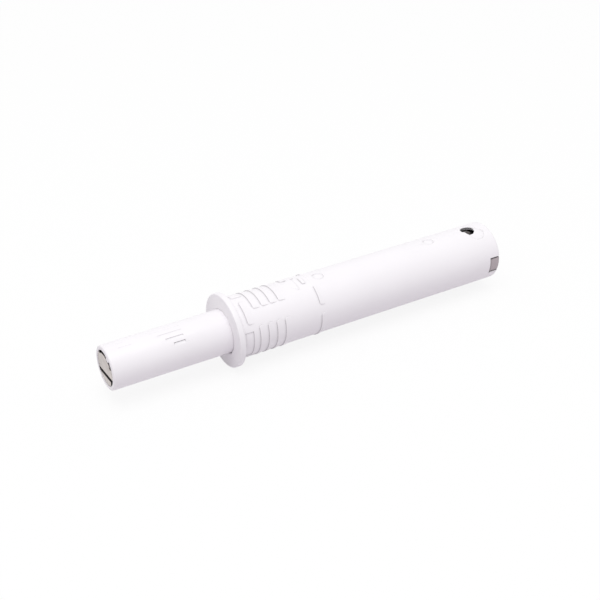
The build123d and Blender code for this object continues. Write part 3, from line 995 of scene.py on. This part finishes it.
def sleeve_point(x, radius, side, angle, s):
    """One point of the sleeve's skin, with what stands on it or sinks into it there."""
    if side == "out":
        radius += sleeve_relief(x, angle, s)
    elif side == "lip":
        off = turn_from(angle, s.lip_notch_angle)
        half = math.degrees(s.lip_notch_width / 2 / s.mouth_radius)
        radius += s.lip_notch_depth * ease((half + LIP_SOFT - abs(off)) / LIP_SOFT)
        radius += s.mouth_offset * math.cos(math.radians(turn_from(angle, s.mouth_offset_angle)))
    elif side == "in":
        off = turn_from(angle, 180.0)
        on_key = abs(off) <= half_angle(s.key_width, s.bore_radius) + ON_KEY
        if on_key and s.guide_length < x <= s.key_end + ON_KEY:
            radius = (s.bore_radius - s.key_height) / math.cos(math.radians(off))
        else:
            angle = s.notch_angle + notch_turn(turn_from(angle, s.notch_angle), radius, s)
    return on_axis(x, radius, angle)


def make_sleeve(s):
    """The sleeve as one closed skin, with its side hole and its rear notch."""
    angles = sleeve_angles(s)
    profile = sleeve_profile(s)
    rows, columns = len(profile), len(angles)
    points = [sleeve_point(*p, angle, s) for p in profile for angle in angles]
    half = half_angle(s.notch_width, s.body_radius)
    field = half_angle(2 * s.hole_field, s.body_radius)
    notch_front = s.sleeve_length - s.notch_length
    low, high = hole_span(s)

    def in_notch(k, j):
        front = min(profile[k][0], profile[(k + 1) % rows][0])
        middle = (angles[j] + angles[(j + 1) % columns]) / 2
        return front > notch_front - SLACK and abs(turn_from(middle, s.notch_angle)) < half

    def in_field(k, j):
        a, b = profile[k], profile[(k + 1) % rows]
        start, end = [turn_from(angles[i % columns], s.hole_angle) for i in (j, j + 1)]
        along = low - SLACK < min(a[0], b[0]) and max(a[0], b[0]) < high + SLACK
        around = -field - SLACK < start < end < field + SLACK
        return a[2] == b[2] and a[2] in ("out", "in") and along and around

    def lines_beside(middle, reach):
        """The grid lines within a reach of an angle, in order."""
        found = [j for j in range(columns) if abs(turn_from(angles[j], middle)) < reach + SLACK]
        return sorted(found, key=lambda j: turn_from(angles[j], middle))

    def rows_on(side, start, end):
        """The rows on one side between two places, in order of X."""
        found = [k for k in range(rows) if profile[k][2] == side]
        found = [k for k in found if start - SLACK < profile[k][0] < end + SLACK]
        return sorted(found, key=lambda k: profile[k][0])

    faces = grid_faces(rows, columns, lambda k, j: in_notch(k, j) or in_field(k, j))

    # Walls of the notch
    first, last = [rows_on(side, notch_front, notch_front)[0] for side in ("out", "in")]
    across = lines_beside(s.notch_angle, half)
    wall = range(first, last + 1)
    faces.append(tuple(k * columns + across[0] for k in wall))
    faces.append(tuple(k * columns + across[-1] for k in reversed(wall)))
    for a, b in zip(across, across[1:]):
        faces.append((first * columns + a, first * columns + b, last * columns + b, last * columns + a))

    # Rim and wall of the side hole
    turns = lines_beside(s.hole_angle, field)

    def border(side):
        """The grid's points round the patch, once round."""
        span = rows_on(side, low, high)
        loop = [(k, turns[0]) for k in span] + [(span[-1], j) for j in turns[1:]]
        loop += [(k, turns[-1]) for k in reversed(span[:-1])]
        return loop + [(span[0], j) for j in reversed(turns[1:-1])]

    outer, inner = border("out"), border("in")
    spokes = []
    for k, j in outer:
        tangent = s.body_radius * math.sin(math.radians(turn_from(angles[j], s.hole_angle)))
        spokes.append(math.atan2(tangent, profile[k][0] - s.hole_place))

    def hole_ring(reach, mix=0.0, sink=0.0, level=None, tooth=True):
        """One ring round the hole: on the skin or sunk below it, or at one radius from the axis."""
        ring = []
        for (k, j), spoke in zip(outer, spokes):
            from_tooth = abs(turn_from(math.degrees(spoke), s.hole_bump_angle))
            size = reach - (s.hole_bump * ease(1.0 - from_tooth / TOOTH_SPREAD) if tooth else 0.0)
            x = s.hole_place + size * math.cos(spoke)
            off = math.degrees(math.asin(size * math.sin(spoke) / (level or s.body_radius)))
            x += (profile[k][0] - x) * mix
            off += (turn_from(angles[j], s.hole_angle) - off) * mix
            angle = s.hole_angle + off
            ring.append(len(points))
            points.append(on_axis(x, level or s.body_radius + sleeve_relief(x, angle, s) - sink, angle))
        return ring

    e = s.hole_round
    r = s.hole_radius
    lip = s.body_radius - s.hole_lip
    wide = r + s.hole_ledge
    rings = [[k * columns + j for k, j in outer]]
    rings += [hole_ring(r + e, mix=share) for share in HOLE_BLEND]
    rings += [hole_ring(r + e * 0.3, sink=e * 0.3), hole_ring(r, sink=e), hole_ring(r, level=lip)]
    rings += [hole_ring(wide, level=level, tooth=False) for level in (lip, s.bore_radius)]
    rings.append([k * columns + j for k, j in inner])
    for near, far in zip(rings, rings[1:]):
        faces += bridge(near, far)
    return mesh_object("sleeve_shell", points, faces)


# Plunger

# Each groove: its first angle, where it starts, its length, its sweep and its depth
GROOVES = (
    (-1.0, -13.2, 4.7, 6.8, 0.03),
    (14.0, -12.3, 3.8, 6.8, 0.05),
    (29.5, -11.4, 2.9, 6.8, 0.08),
    (44.5, -10.4, 1.9, 8.0, 0.12),
    (-2.5, -18.6, 1.1, 6.8, 0.025),
    (13.4, -18.6, 2.1, 6.8, 0.035),
)

# How deep a groove still is along its lower edge, as a share
GROOVE_FOOT = 0.12

# Degrees over which the recess's rib and the thicker wall run out
RECESS_SOFT = 1.5

# Radius of the small hole that the grid leaves in the middle of the tube's wall
AXIS_GAP = 0.4

# Half the length of the bead behind the click ring
BEAD_HALF = 0.2

# The tube's hidden rim: the width of its edge, and where the plain outside stops before it
RIM_EDGE = 0.12
RIM_START = 0.15

# The recess's edge at the tip: its width on the face, and the depth and width of its middle
TIP_EDGE = 0.1
TIP_EDGE_MIDDLE = (0.02, 0.03)

# Depths of the recess's grid lines behind the tip, the last ones where its edge eases out
RECESS_LINES = (1.2, 0.3, 0.09)

# Widest steps of the grid: along the tube, round it, and round its grooved side, which ends at this angle
TUBE_STEP = 2.5
TUBE_ROUND_STEP = 4.0
GROOVED_STEP = 2.0
GROOVED_END = 60.0


def plunger_angles(s):
    """Angles of the grid lines round the plunger tube."""
    fixed = []
    for start, _, _, sweep, _ in GROOVES:
        fixed += soft_ends(start, sweep, math.degrees(s.edge_soft / s.radius))
    rib = half_angle(s.rib_width, s.recess_radius)
    fixed += [s.rib_angle + step for step in (-rib - RECESS_SOFT, -rib, 0.0, rib, rib + RECESS_SOFT)]
    fixed += [s.lining_angle - RECESS_SOFT, s.lining_angle]
    zones = [(0.0, 360.0, TUBE_ROUND_STEP), (0.0, GROOVED_END, GROOVED_STEP)]
    return grid_lines([line % 360.0 for line in fixed], zones, 0.0, 360.0)[:-1]


def groove_relief(x, angle, s):
    """Depth of the direction grooves at one place on the tube."""
    per_degree = math.radians(1.0) * s.radius
    deepest = 0.0
    for start, at, length, sweep, depth in GROOVES:
        if at <= x <= at + length:
            arc = turn_from(angle, start) * per_degree
            width = sweep * per_degree
            inside = min(x - at, at + length - x, arc, width - arc)
            slope = 1.0 - (1.0 - GROOVE_FOOT) * arc / width
            deepest = max(deepest, depth * slope * ease(inside / s.edge_soft))
    return -deepest


def plunger_profile(s):
    """The tube's outline as (x, radius, side) points."""
    front, rear, r = s.tip, s.rear, s.tip_round
    recess, wide, narrow = s.recess_radius, s.counterbore_radius, s.stud_bore_radius
    ring_front, ring_back = s.ring_start - CHAMFER, s.ring_end + CHAMFER
    floor = front + s.recess_depth
    stud_floor = floor + s.floor_thickness
    fixed = []
    for _, at, length, _, _ in GROOVES:
        fixed += soft_ends(at, length, s.edge_soft)
    places = grid_lines(fixed, [(front, rear, TUBE_STEP)], front + r + CHAMFER, rear - RIM_START)
    points = run("plain", [(front, recess + TIP_EDGE), (front, s.radius - r - CHAMFER)])
    points += run("plain", arc_points(front + r, s.radius - r, r, 180.0, 90.0, 5))
    points += run("out", [(x, s.radius) for x in places])
    points += run("plain", [(rear - CHAMFER, s.radius - RIM_EDGE / 4), (rear, s.radius - RIM_EDGE)])
    points += run("plain", [(rear, wide + CHAMFER), (rear - CHAMFER, wide)])
    points += run("plain", [(ring_back + 2 * BEAD_HALF, wide), (ring_back + BEAD_HALF, wide - s.bead_height)])
    points += run("plain", [(ring_back, wide)])
    points += run("plain", [(ring_front, wide), (ring_front, narrow)])
    points += run("plain", [(stud_floor, narrow), (stud_floor, AXIS_GAP), (floor, AXIS_GAP)])
    points += run("recess", [(floor, recess), *[(front + depth, recess) for depth in RECESS_LINES]])
    points += run("edge", [(front + TIP_EDGE_MIDDLE[0], recess + TIP_EDGE_MIDDLE[1])])
    return points


def off_centre_reach(angle, y, z, radius):
    """How far from the axis a circle round (y, z) is at one angle."""
    along = polar(1.0, angle).dot(Vector((y, z)))
    return along + math.sqrt(along**2 + radius**2 - y**2 - z**2)


def make_plunger(s):
    """The plunger tube with its grooves, its tip recess and the rib in the recess."""
    angles = plunger_angles(s)
    profile = plunger_profile(s)
    rib = half_angle(s.rib_width, s.recess_radius)
    points = []
    for x, radius, side in profile:
        for angle in angles:
            reach = radius
            from_rib = turn_from(angle, s.rib_angle)
            if side == "out":
                reach += groove_relief(x, angle, s)
            elif side == "recess" and abs(from_rib) <= rib + ON_KEY:
                reach = s.rib_reach
            elif side in ("recess", "edge") and s.lining_angle - s.rib_angle - ON_KEY <= from_rib < 0:
                lining = off_centre_reach(angle, s.lining_y, s.lining_z, s.lining_radius)
                reach = min(reach, lining + radius - s.recess_radius)
            points.append(on_axis(x, reach, angle))
    return mesh_object("plunger_sleeve", points, grid_faces(len(profile), len(angles)))


# Pole shoes

# Degrees between the points of a shoe's arc, and steps in the rounding of its corners
ARC_STEP = 6.5
CORNER_STEPS = 4

# How far the magnet's nose reaches back into the slab
NOSE_ROOT = 1.0


def arc_run(reach, start, end, corner):
    """Points from one corner to another along an arc, and the rounding of each. reach gives the radius."""
    count = max(2, round(abs(end - start) / ARC_STEP))
    points = [polar(reach(angle), angle) for angle in spread(start, end, count)]
    return points, [corner] + [0.0] * (count - 1) + [corner]


def wide_shoe_outline(s):
    """The shoe above the slit: its flanks fill the recess, and its crown stands clear of the tube."""
    outer = s.recess_radius - s.shoe_gap
    low = math.degrees(math.acos(s.slit_top / outer))
    crown_start, crown_end = s.crown_start_angle, s.crown_end_angle

    def flank(angle):
        return outer

    def crown(angle):
        return off_centre_reach(angle, s.crown_y, s.crown_z, s.crown_radius)

    points, radii = [], []
    runs = ((flank, -low, crown_start), (crown, crown_start, crown_end), (flank, crown_end, low))
    for reach, start, end in runs:
        run_points, run_radii = arc_run(reach, start, end, s.shoe_corner)
        points += run_points
        radii += run_radii
    return rounded(points, radii, CORNER_STEPS)


def narrow_shoe_outline(s):
    """The segment below the slit, cut short at its near end."""
    outer = s.recess_radius - s.shoe_gap
    top = s.slit_top - s.slit_width
    start = -math.degrees(math.acos(top / outer))
    end = -180.0 - math.degrees(math.asin(s.narrow_end / outer))
    points, radii = arc_run(lambda angle: outer, start, end, s.shoe_corner)
    points.append(Vector((-s.narrow_end, top)))
    radii.append(s.shoe_corner)
    return rounded(points, radii, CORNER_STEPS)


def box_outline(y_from, y_to, z_from, z_to):
    """The four corners of an upright rectangle."""
    return [(y_from, z_from), (y_to, z_from), (y_to, z_to), (y_from, z_to)]


def make_magnet(s):
    """The flat magnet between the shoes, with a thinner nose that shows in the slit and stands in for the
    slit's shade.
    """
    low = s.slit_top - s.slit_width
    half = s.magnet_width / 2
    slab = box_outline(s.crown_y - half, s.crown_y + half, low, low + s.magnet_thickness)
    shape = prism("magnet_slab", rounded(slab, 2 * s.shoe_edge), s.magnet_front, s.back, s.shoe_edge)
    outer = s.recess_radius - s.shoe_gap
    top = s.slit_top - s.shoe_gap
    bottom = low + s.shoe_gap
    reach = [math.sqrt(outer**2 - z**2) for z in (bottom, top)]
    nose = [(-reach[0], bottom), (reach[0], bottom), (reach[1], top), (-reach[1], top)]
    combine(shape, prism("nose", nose, s.nose_front, s.magnet_front + NOSE_ROOT, s.shoe_gap), "UNION")
    settle_normals(shape)
    soften(shape)
    return shape


# Inside parts

# Points of each turn of the spring, and the pitch of its closed turns as a share of the wire's thickness
STEPS_PER_TURN = 24
CLOSED_PITCH = 1.04

# The strip's rounded corners seen from its end, and its rounded ends
STRIP_CORNER = 0.06
STRIP_EDGE = 0.04

# How far the stem reaches into the disc, and how far the cuts start in front of it or end outside it
STEM_ROOT = 0.3
CUT_MARGIN = 1.0

# A touch of rounding on the pocket's cut. With a sharp box the well below it stays closed
CUT_EDGE = 0.0001

# Steps round the disc and round the key's back
DISC_STEPS = 48
KEY_STEPS = 12

# How far the pip's foot stands above the strip's underside
PIP_FOOT = 0.02


def make_spring(s):
    """A round-wire compression spring with closed ends."""
    wire = s.wire / 2
    start, end = s.seat + wire, s.end - wire
    closed = s.closed_turns
    turns = s.turns + 2 * closed
    pitch = s.wire * CLOSED_PITCH
    rise = closed * pitch
    route = []
    for i in range(int(turns * STEPS_PER_TURN) + 1):
        turn = i / STEPS_PER_TURN
        if turn < closed:
            x = start + turn * pitch
        elif turn > turns - closed:
            x = end - (turns - turn) * pitch
        else:
            x = start + rise + (end - start - 2 * rise) * (turn - closed) / s.turns
        around = 2 * math.pi * turn
        route.append((x, s.radius * math.cos(around), s.radius * math.sin(around)))
    return tube("spring_coil", route, wire, sides=10)


def make_follower(s):
    """The bent wire, round in section, with eased bends."""
    rear, front = (s.pivot, 0.0), (s.pin, s.lane)
    corners = [(*rear, s.height - s.pivot_depth), (*rear, s.height), (*front, s.height), (*front, s.pin_end)]
    route = rounded(corners, s.bend, steps=8, closed=False)
    return tube("follower_pin_wire", route, s.diameter / 2, sides=16)


def make_leaf(s):
    """The thin strip that holds the wire down, with the pip that clicks in the sleeve's hole."""
    half = s.leaf_width / 2
    outline = rounded(box_outline(-half, half, s.leaf_low, s.leaf_top), STRIP_CORNER, steps=2)
    shape = prism("follower_strip", outline, s.leaf_start, s.leaf_end, STRIP_EDGE, steps=2)
    height = s.pip_top - s.leaf_low
    edge = s.pip_edge
    top = arc_points(height - edge, s.pip_radius - edge, edge, 90.0, 0.0, 6)
    profile = [(PIP_FOOT, s.pip_radius), *top]
    pip = turned_solid("pip", profile, sides=40)
    for point in pip.data.vertices:
        point.co.z *= s.pip_oval
    pip.data.transform(Matrix.Rotation(math.radians(s.pip_angle), 4, "X"))
    stand_up(pip, s.pip_place, s.leaf_low)
    combine(shape, pip, "UNION")
    soften(shape)
    return shape


def make_plug(s):
    """The end plug: a slotted disc, the key that fills the notch and the stem that guides the spring."""
    r = s.disc_radius
    slot, groove, side = s.leaf_slot / 2, s.key_groove / 2, s.pocket / 2
    turns = spread(math.acos(slot / r), -math.acos(groove / r), DISC_STEPS)
    right = [(r * math.cos(t), r * math.sin(t)) for t in turns]
    left = [(-y, z) for y, z in reversed(right)]
    outline = [(slot, s.slot_floor), *right, (groove, s.groove_top), (-groove, s.groove_top), *left]
    shape = prism("plug_body", [*outline, (-slot, s.slot_floor)], s.front, s.rear, s.edge)

    low, high = -s.key_width / 2, s.key_width / 2 - s.key_top_gap
    turns = spread(math.asin(high / s.key_radius), math.asin(low / s.key_radius), KEY_STEPS)
    arc = [(s.key_radius * math.sin(t), s.key_radius * math.cos(t)) for t in turns]
    spin = Matrix.Rotation(math.radians(s.key_angle), 2)
    key = [spin @ Vector(p) for p in [(low, s.key_foot), (high, s.key_foot), *arc]]
    combine(shape, prism("key", key, s.key_start, s.key_rear, s.edge), "UNION")

    tip = s.front - s.stem_length
    stem = [(tip, s.stem_tip), (tip + s.stem_radius, s.stem_radius), (s.front + STEM_ROOT, s.stem_radius)]
    combine(shape, turned_solid("stem", stem, sides=32), "UNION")

    pocket = box_outline(-side, side, s.pocket_floor, r + CUT_MARGIN)
    combine(shape, prism("pocket", pocket, s.front - CUT_MARGIN, s.pocket_end, CUT_EDGE), "DIFFERENCE")
    well = turned_solid("well", [(0.0, s.well_radius), (r, s.well_radius)], sides=24)
    stand_up(well, s.pivot, s.well_floor)
    combine(shape, well, "DIFFERENCE")
    settle_normals(shape)
    soften(shape)
    return shape


# Stage

SENSOR_WIDTH = 36.0
CAMERA_REACH = (0.01, 10.0)


def make_camera(sizes):
    """The camera at the photograph's place."""
    data = bpy.data.cameras.new("camera")
    data.sensor_width = SENSOR_WIDTH
    data.lens = sizes.lens
    data.clip_start, data.clip_end = CAMERA_REACH
    camera = place_object("camera", data)
    camera.location = sizes.eye
    camera.rotation_euler = (math.pi / 2 - sizes.pitch, 0.0, -sizes.yaw)
    bpy.context.scene.camera = camera


def seen_straight(tree):
    """1 for what the camera sees, straight or by gloss or through a clear piece, and 0 for stray light."""
    path = add(tree, "LightPath").outputs
    seen = path["Is Camera Ray"]
    for ray in ("Is Glossy Ray", "Is Transmission Ray"):
        seen = add(tree, "Math", {0: seen, 1: path[ray]}, operation="MAXIMUM").outputs[0]
    return seen


def make_floor(sizes):
    """A white floor that shows the camera a share of its own shading."""
    half, z = sizes.floor_half, sizes.floor_z
    corners = [(-half, -half, z), (half, -half, z), (half, half, z), (-half, half, z)]
    mesh = bpy.data.meshes.new("floor")
    mesh.from_pydata(corners, [], [(0, 1, 2, 3)])
    material = bpy.data.materials.new("floor white")
    material.use_nodes = True
    tree = material.node_tree
    tree.nodes.clear()
    seen = seen_straight(tree)
    tone = blend(tree, seen, (*sizes.floor_bounce, 1.0), (*sizes.floor_seen, 1.0))
    lit = add(tree, "BsdfDiffuse", {"Color": tone})
    glow = add(tree, "Emission", {"Strength": 1.0})
    share = add(tree, "Math", {0: seen, 1: 1.0 - sizes.shadow}, operation="MULTIPLY")
    mix = add(tree, "MixShader", {0: share.outputs[0], 1: lit.outputs[0], 2: glow.outputs[0]})
    add(tree, "OutputMaterial", {"Surface": mix.outputs[0]})
    mesh.materials.append(material)
    place_object("floor", mesh)


def make_world(sizes):
    """Even white light from all round, and a white background for the camera and for gloss."""
    world = bpy.data.worlds.new("studio")
    bpy.context.scene.world = world
    world.use_nodes = True
    tree = world.node_tree
    tree.nodes.clear()
    white = (1.0, 1.0, 1.0, 1.0)
    lights = [add(tree, "Background", {"Color": white, "Strength": power}) for power in (sizes.sky, 1.0)]
    mix = add(tree, "MixShader", {0: seen_straight(tree), 1: lights[0].outputs[0], 2: lights[1].outputs[0]})
    add(tree, "OutputWorld", {"Surface": mix.outputs[0]})


def make_key(sizes):
    """A large soft lamp overhead."""
    data = bpy.data.lights.new("soft lamp", "AREA")
    data.shape = "DISK"
    data.size = sizes.key_size
    data.energy = sizes.key_power
    lamp = place_object("soft lamp", data)
    lamp.location = sizes.key_place
    lamp.rotation_euler = (-lamp.location).to_track_quat("-Z", "Y").to_euler()


class LATCH_OT_stage(Operator):
    """Makes the camera, the floor and the light"""

    bl_idname = "latch.stage"
    bl_label = "Stage"

    def execute(self, context):
        sizes = context.scene.latch_stage
        make_camera(sizes)
        make_floor(sizes)
        make_world(sizes)
        make_key(sizes)
        context.scene.view_settings.view_transform = "Standard"
        return {"FINISHED"}


class LATCH_OT_sleeve(Operator):
    """Makes the sleeve with its flange, ribs, marks, side hole and rear notch"""

    bl_idname = "latch.sleeve"
    bl_label = "Sleeve"

    def execute(self, context):
        colour = context.scene.latch_colours.shell_white
        white = plastic("shell plastic", colour, dullness=(0.36, 0.5), depth=0.002)
        shape = make_sleeve(measures(context.scene.latch_sleeve))
        place_piece(shape, "sleeve", "housing", white)
        return {"FINISHED"}


class LATCH_OT_plunger(Operator):
    """Makes the plunger tube with its grooves"""

    bl_idname = "latch.plunger"
    bl_label = "Plunger"

    def execute(self, context):
        colour = context.scene.latch_colours.plunger_white
        white = plastic("plunger plastic", colour, dullness=(0.32, 0.44), depth=0.0015)
        shape = make_plunger(measures(context.scene.latch_plunger))
        place_piece(shape, "plunger", "plunger_tube", white)
        return {"FINISHED"}


class LATCH_OT_tip(Operator):
    """Makes the two pole shoes and the magnet between them"""

    bl_idname = "latch.tip"
    bl_label = "Pole shoes and magnet"

    def execute(self, context):
        sizes = measures(context.scene.latch_shoes)
        colours = context.scene.latch_colours
        span = (sizes.front, sizes.back, sizes.shoe_edge)
        wide = prism("wide_shoe_face", wide_shoe_outline(sizes), *span)
        narrow = prism("narrow_shoe_face", narrow_shoe_outline(sizes), *span)
        magnet = make_magnet(sizes)
        for shape in (wide, narrow, magnet):
            shape.data.transform(Matrix.Rotation(math.radians(sizes.face_turn), 4, "X"))
        marks = (0.8, 6.0, 0.2, 0.004)
        # The shoes' edges get a painted highlight along with their wear, and their gaps painted shade
        steel = metal("shoe steel", colours.shoe_steel, (0.28, 0.5), marks, wear_and_highlight=1.5, wear_highlight_reach=0.22)
        place_piece(wide, "plunger", "wide_pole_shoe", steel)
        place_piece(narrow, "plunger", "narrow_pole_shoe", steel)
        # The magnet gets painted shade in its gaps as well as its near-black colour
        looks = {"shade": 0.3, "reach": 0.5, "corners": "gap shade", "gloss": 0.05}
        dark = plastic("magnet ceramic and slit shade", colours.magnet_and_slit_shade, dullness=(0.5, 0.75), depth=0.004, **looks)
        place_piece(magnet, "plunger", "magnet", dark)
        return {"FINISHED"}


class LATCH_OT_inside(Operator):
    """Makes the spring, the follower wire and its strip, and finishes the slider and the click ring"""

    bl_idname = "latch.inside"
    bl_label = "Inside parts"

    def execute(self, context):
        sizes = measures(context.scene.latch_inside)
        colours = context.scene.latch_colours
        marks = (3.0, 14.0, 0.7, 0.002)
        steel = metal("wire steel and hole shade", colours.steel_and_hole_shade, (0.25, 0.42), marks, wear_and_highlight=1.2)
        spring = make_spring(sizes)
        place_piece(spring, "sleeve", "return_spring", steel)
        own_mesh(spring)
        place_piece(make_follower(sizes), "follower", "follower_wire", steel)
        place_piece(make_leaf(sizes), "sleeve", "follower_leaf", steel)
        cream = plastic("slider plastic", colours.slider_cream, dullness=(0.42, 0.56), depth=0.002)
        grey = plastic("ring plastic", colours.plug_grey, PLUG_DULLNESS, PLUG_GRAIN)
        dress(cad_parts["cam_slider"], cream)
        dress(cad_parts["click_ring"], grey)
        return {"FINISHED"}


class LATCH_OT_plug(Operator):
    """Makes the end plug that closes the sleeve and fills its notch"""

    bl_idname = "latch.plug"
    bl_label = "End plug"

    def execute(self, context):
        colour = context.scene.latch_colours.plug_grey
        # The plug gets painted shade in its gaps with the sleeve's notch
        looks = {"shade": 0.25, "reach": 0.6, "corners": "gap shade"}
        grey = plastic("plug plastic", colour, PLUG_DULLNESS, PLUG_GRAIN, **looks)
        place_piece(make_plug(measures(context.scene.latch_plug)), "sleeve", "end_plug", grey)
        return {"FINISHED"}


OPERATORS = (LATCH_OT_stage, LATCH_OT_sleeve, LATCH_OT_plunger, LATCH_OT_tip, LATCH_OT_inside, LATCH_OT_plug)


class LATCH_PT_panel(Panel):
    """Lists the steps that dress the latch"""

    bl_idname = "LATCH_PT_panel"
    bl_label = "Latch"
    bl_space_type = "VIEW_3D"
    bl_region_type = "UI"
    bl_category = "Latch"

    def draw(self, context):
        for operator in OPERATORS:
            self.layout.operator(operator.bl_idname)


GROUPS = {
    "latch_stage": StageSizes,
    "latch_colours": LatchColours,
    "latch_sleeve": SleeveSizes,
    "latch_plunger": PlungerSizes,
    "latch_shoes": ShoeSizes,
    "latch_inside": InsideSizes,
    "latch_plug": PlugSizes,
}
CLASSES = (*GROUPS.values(), *OPERATORS, LATCH_PT_panel)


def register():
    for item in CLASSES:
        bpy.utils.register_class(item)
    for name, group in GROUPS.items():
        setattr(bpy.types.Scene, name, PointerProperty(type=group))


def unregister():
    for name in GROUPS:
        delattr(bpy.types.Scene, name)
    for item in reversed(CLASSES):
        bpy.utils.unregister_class(item)


def main():
    """Dresses the latch."""
    register()
    bpy.ops.latch.stage()
    bpy.ops.latch.sleeve()
    bpy.ops.latch.plunger()
    bpy.ops.latch.tip()
    bpy.ops.latch.inside()
    bpy.ops.latch.plug()


if __name__ == "__main__":
    main()
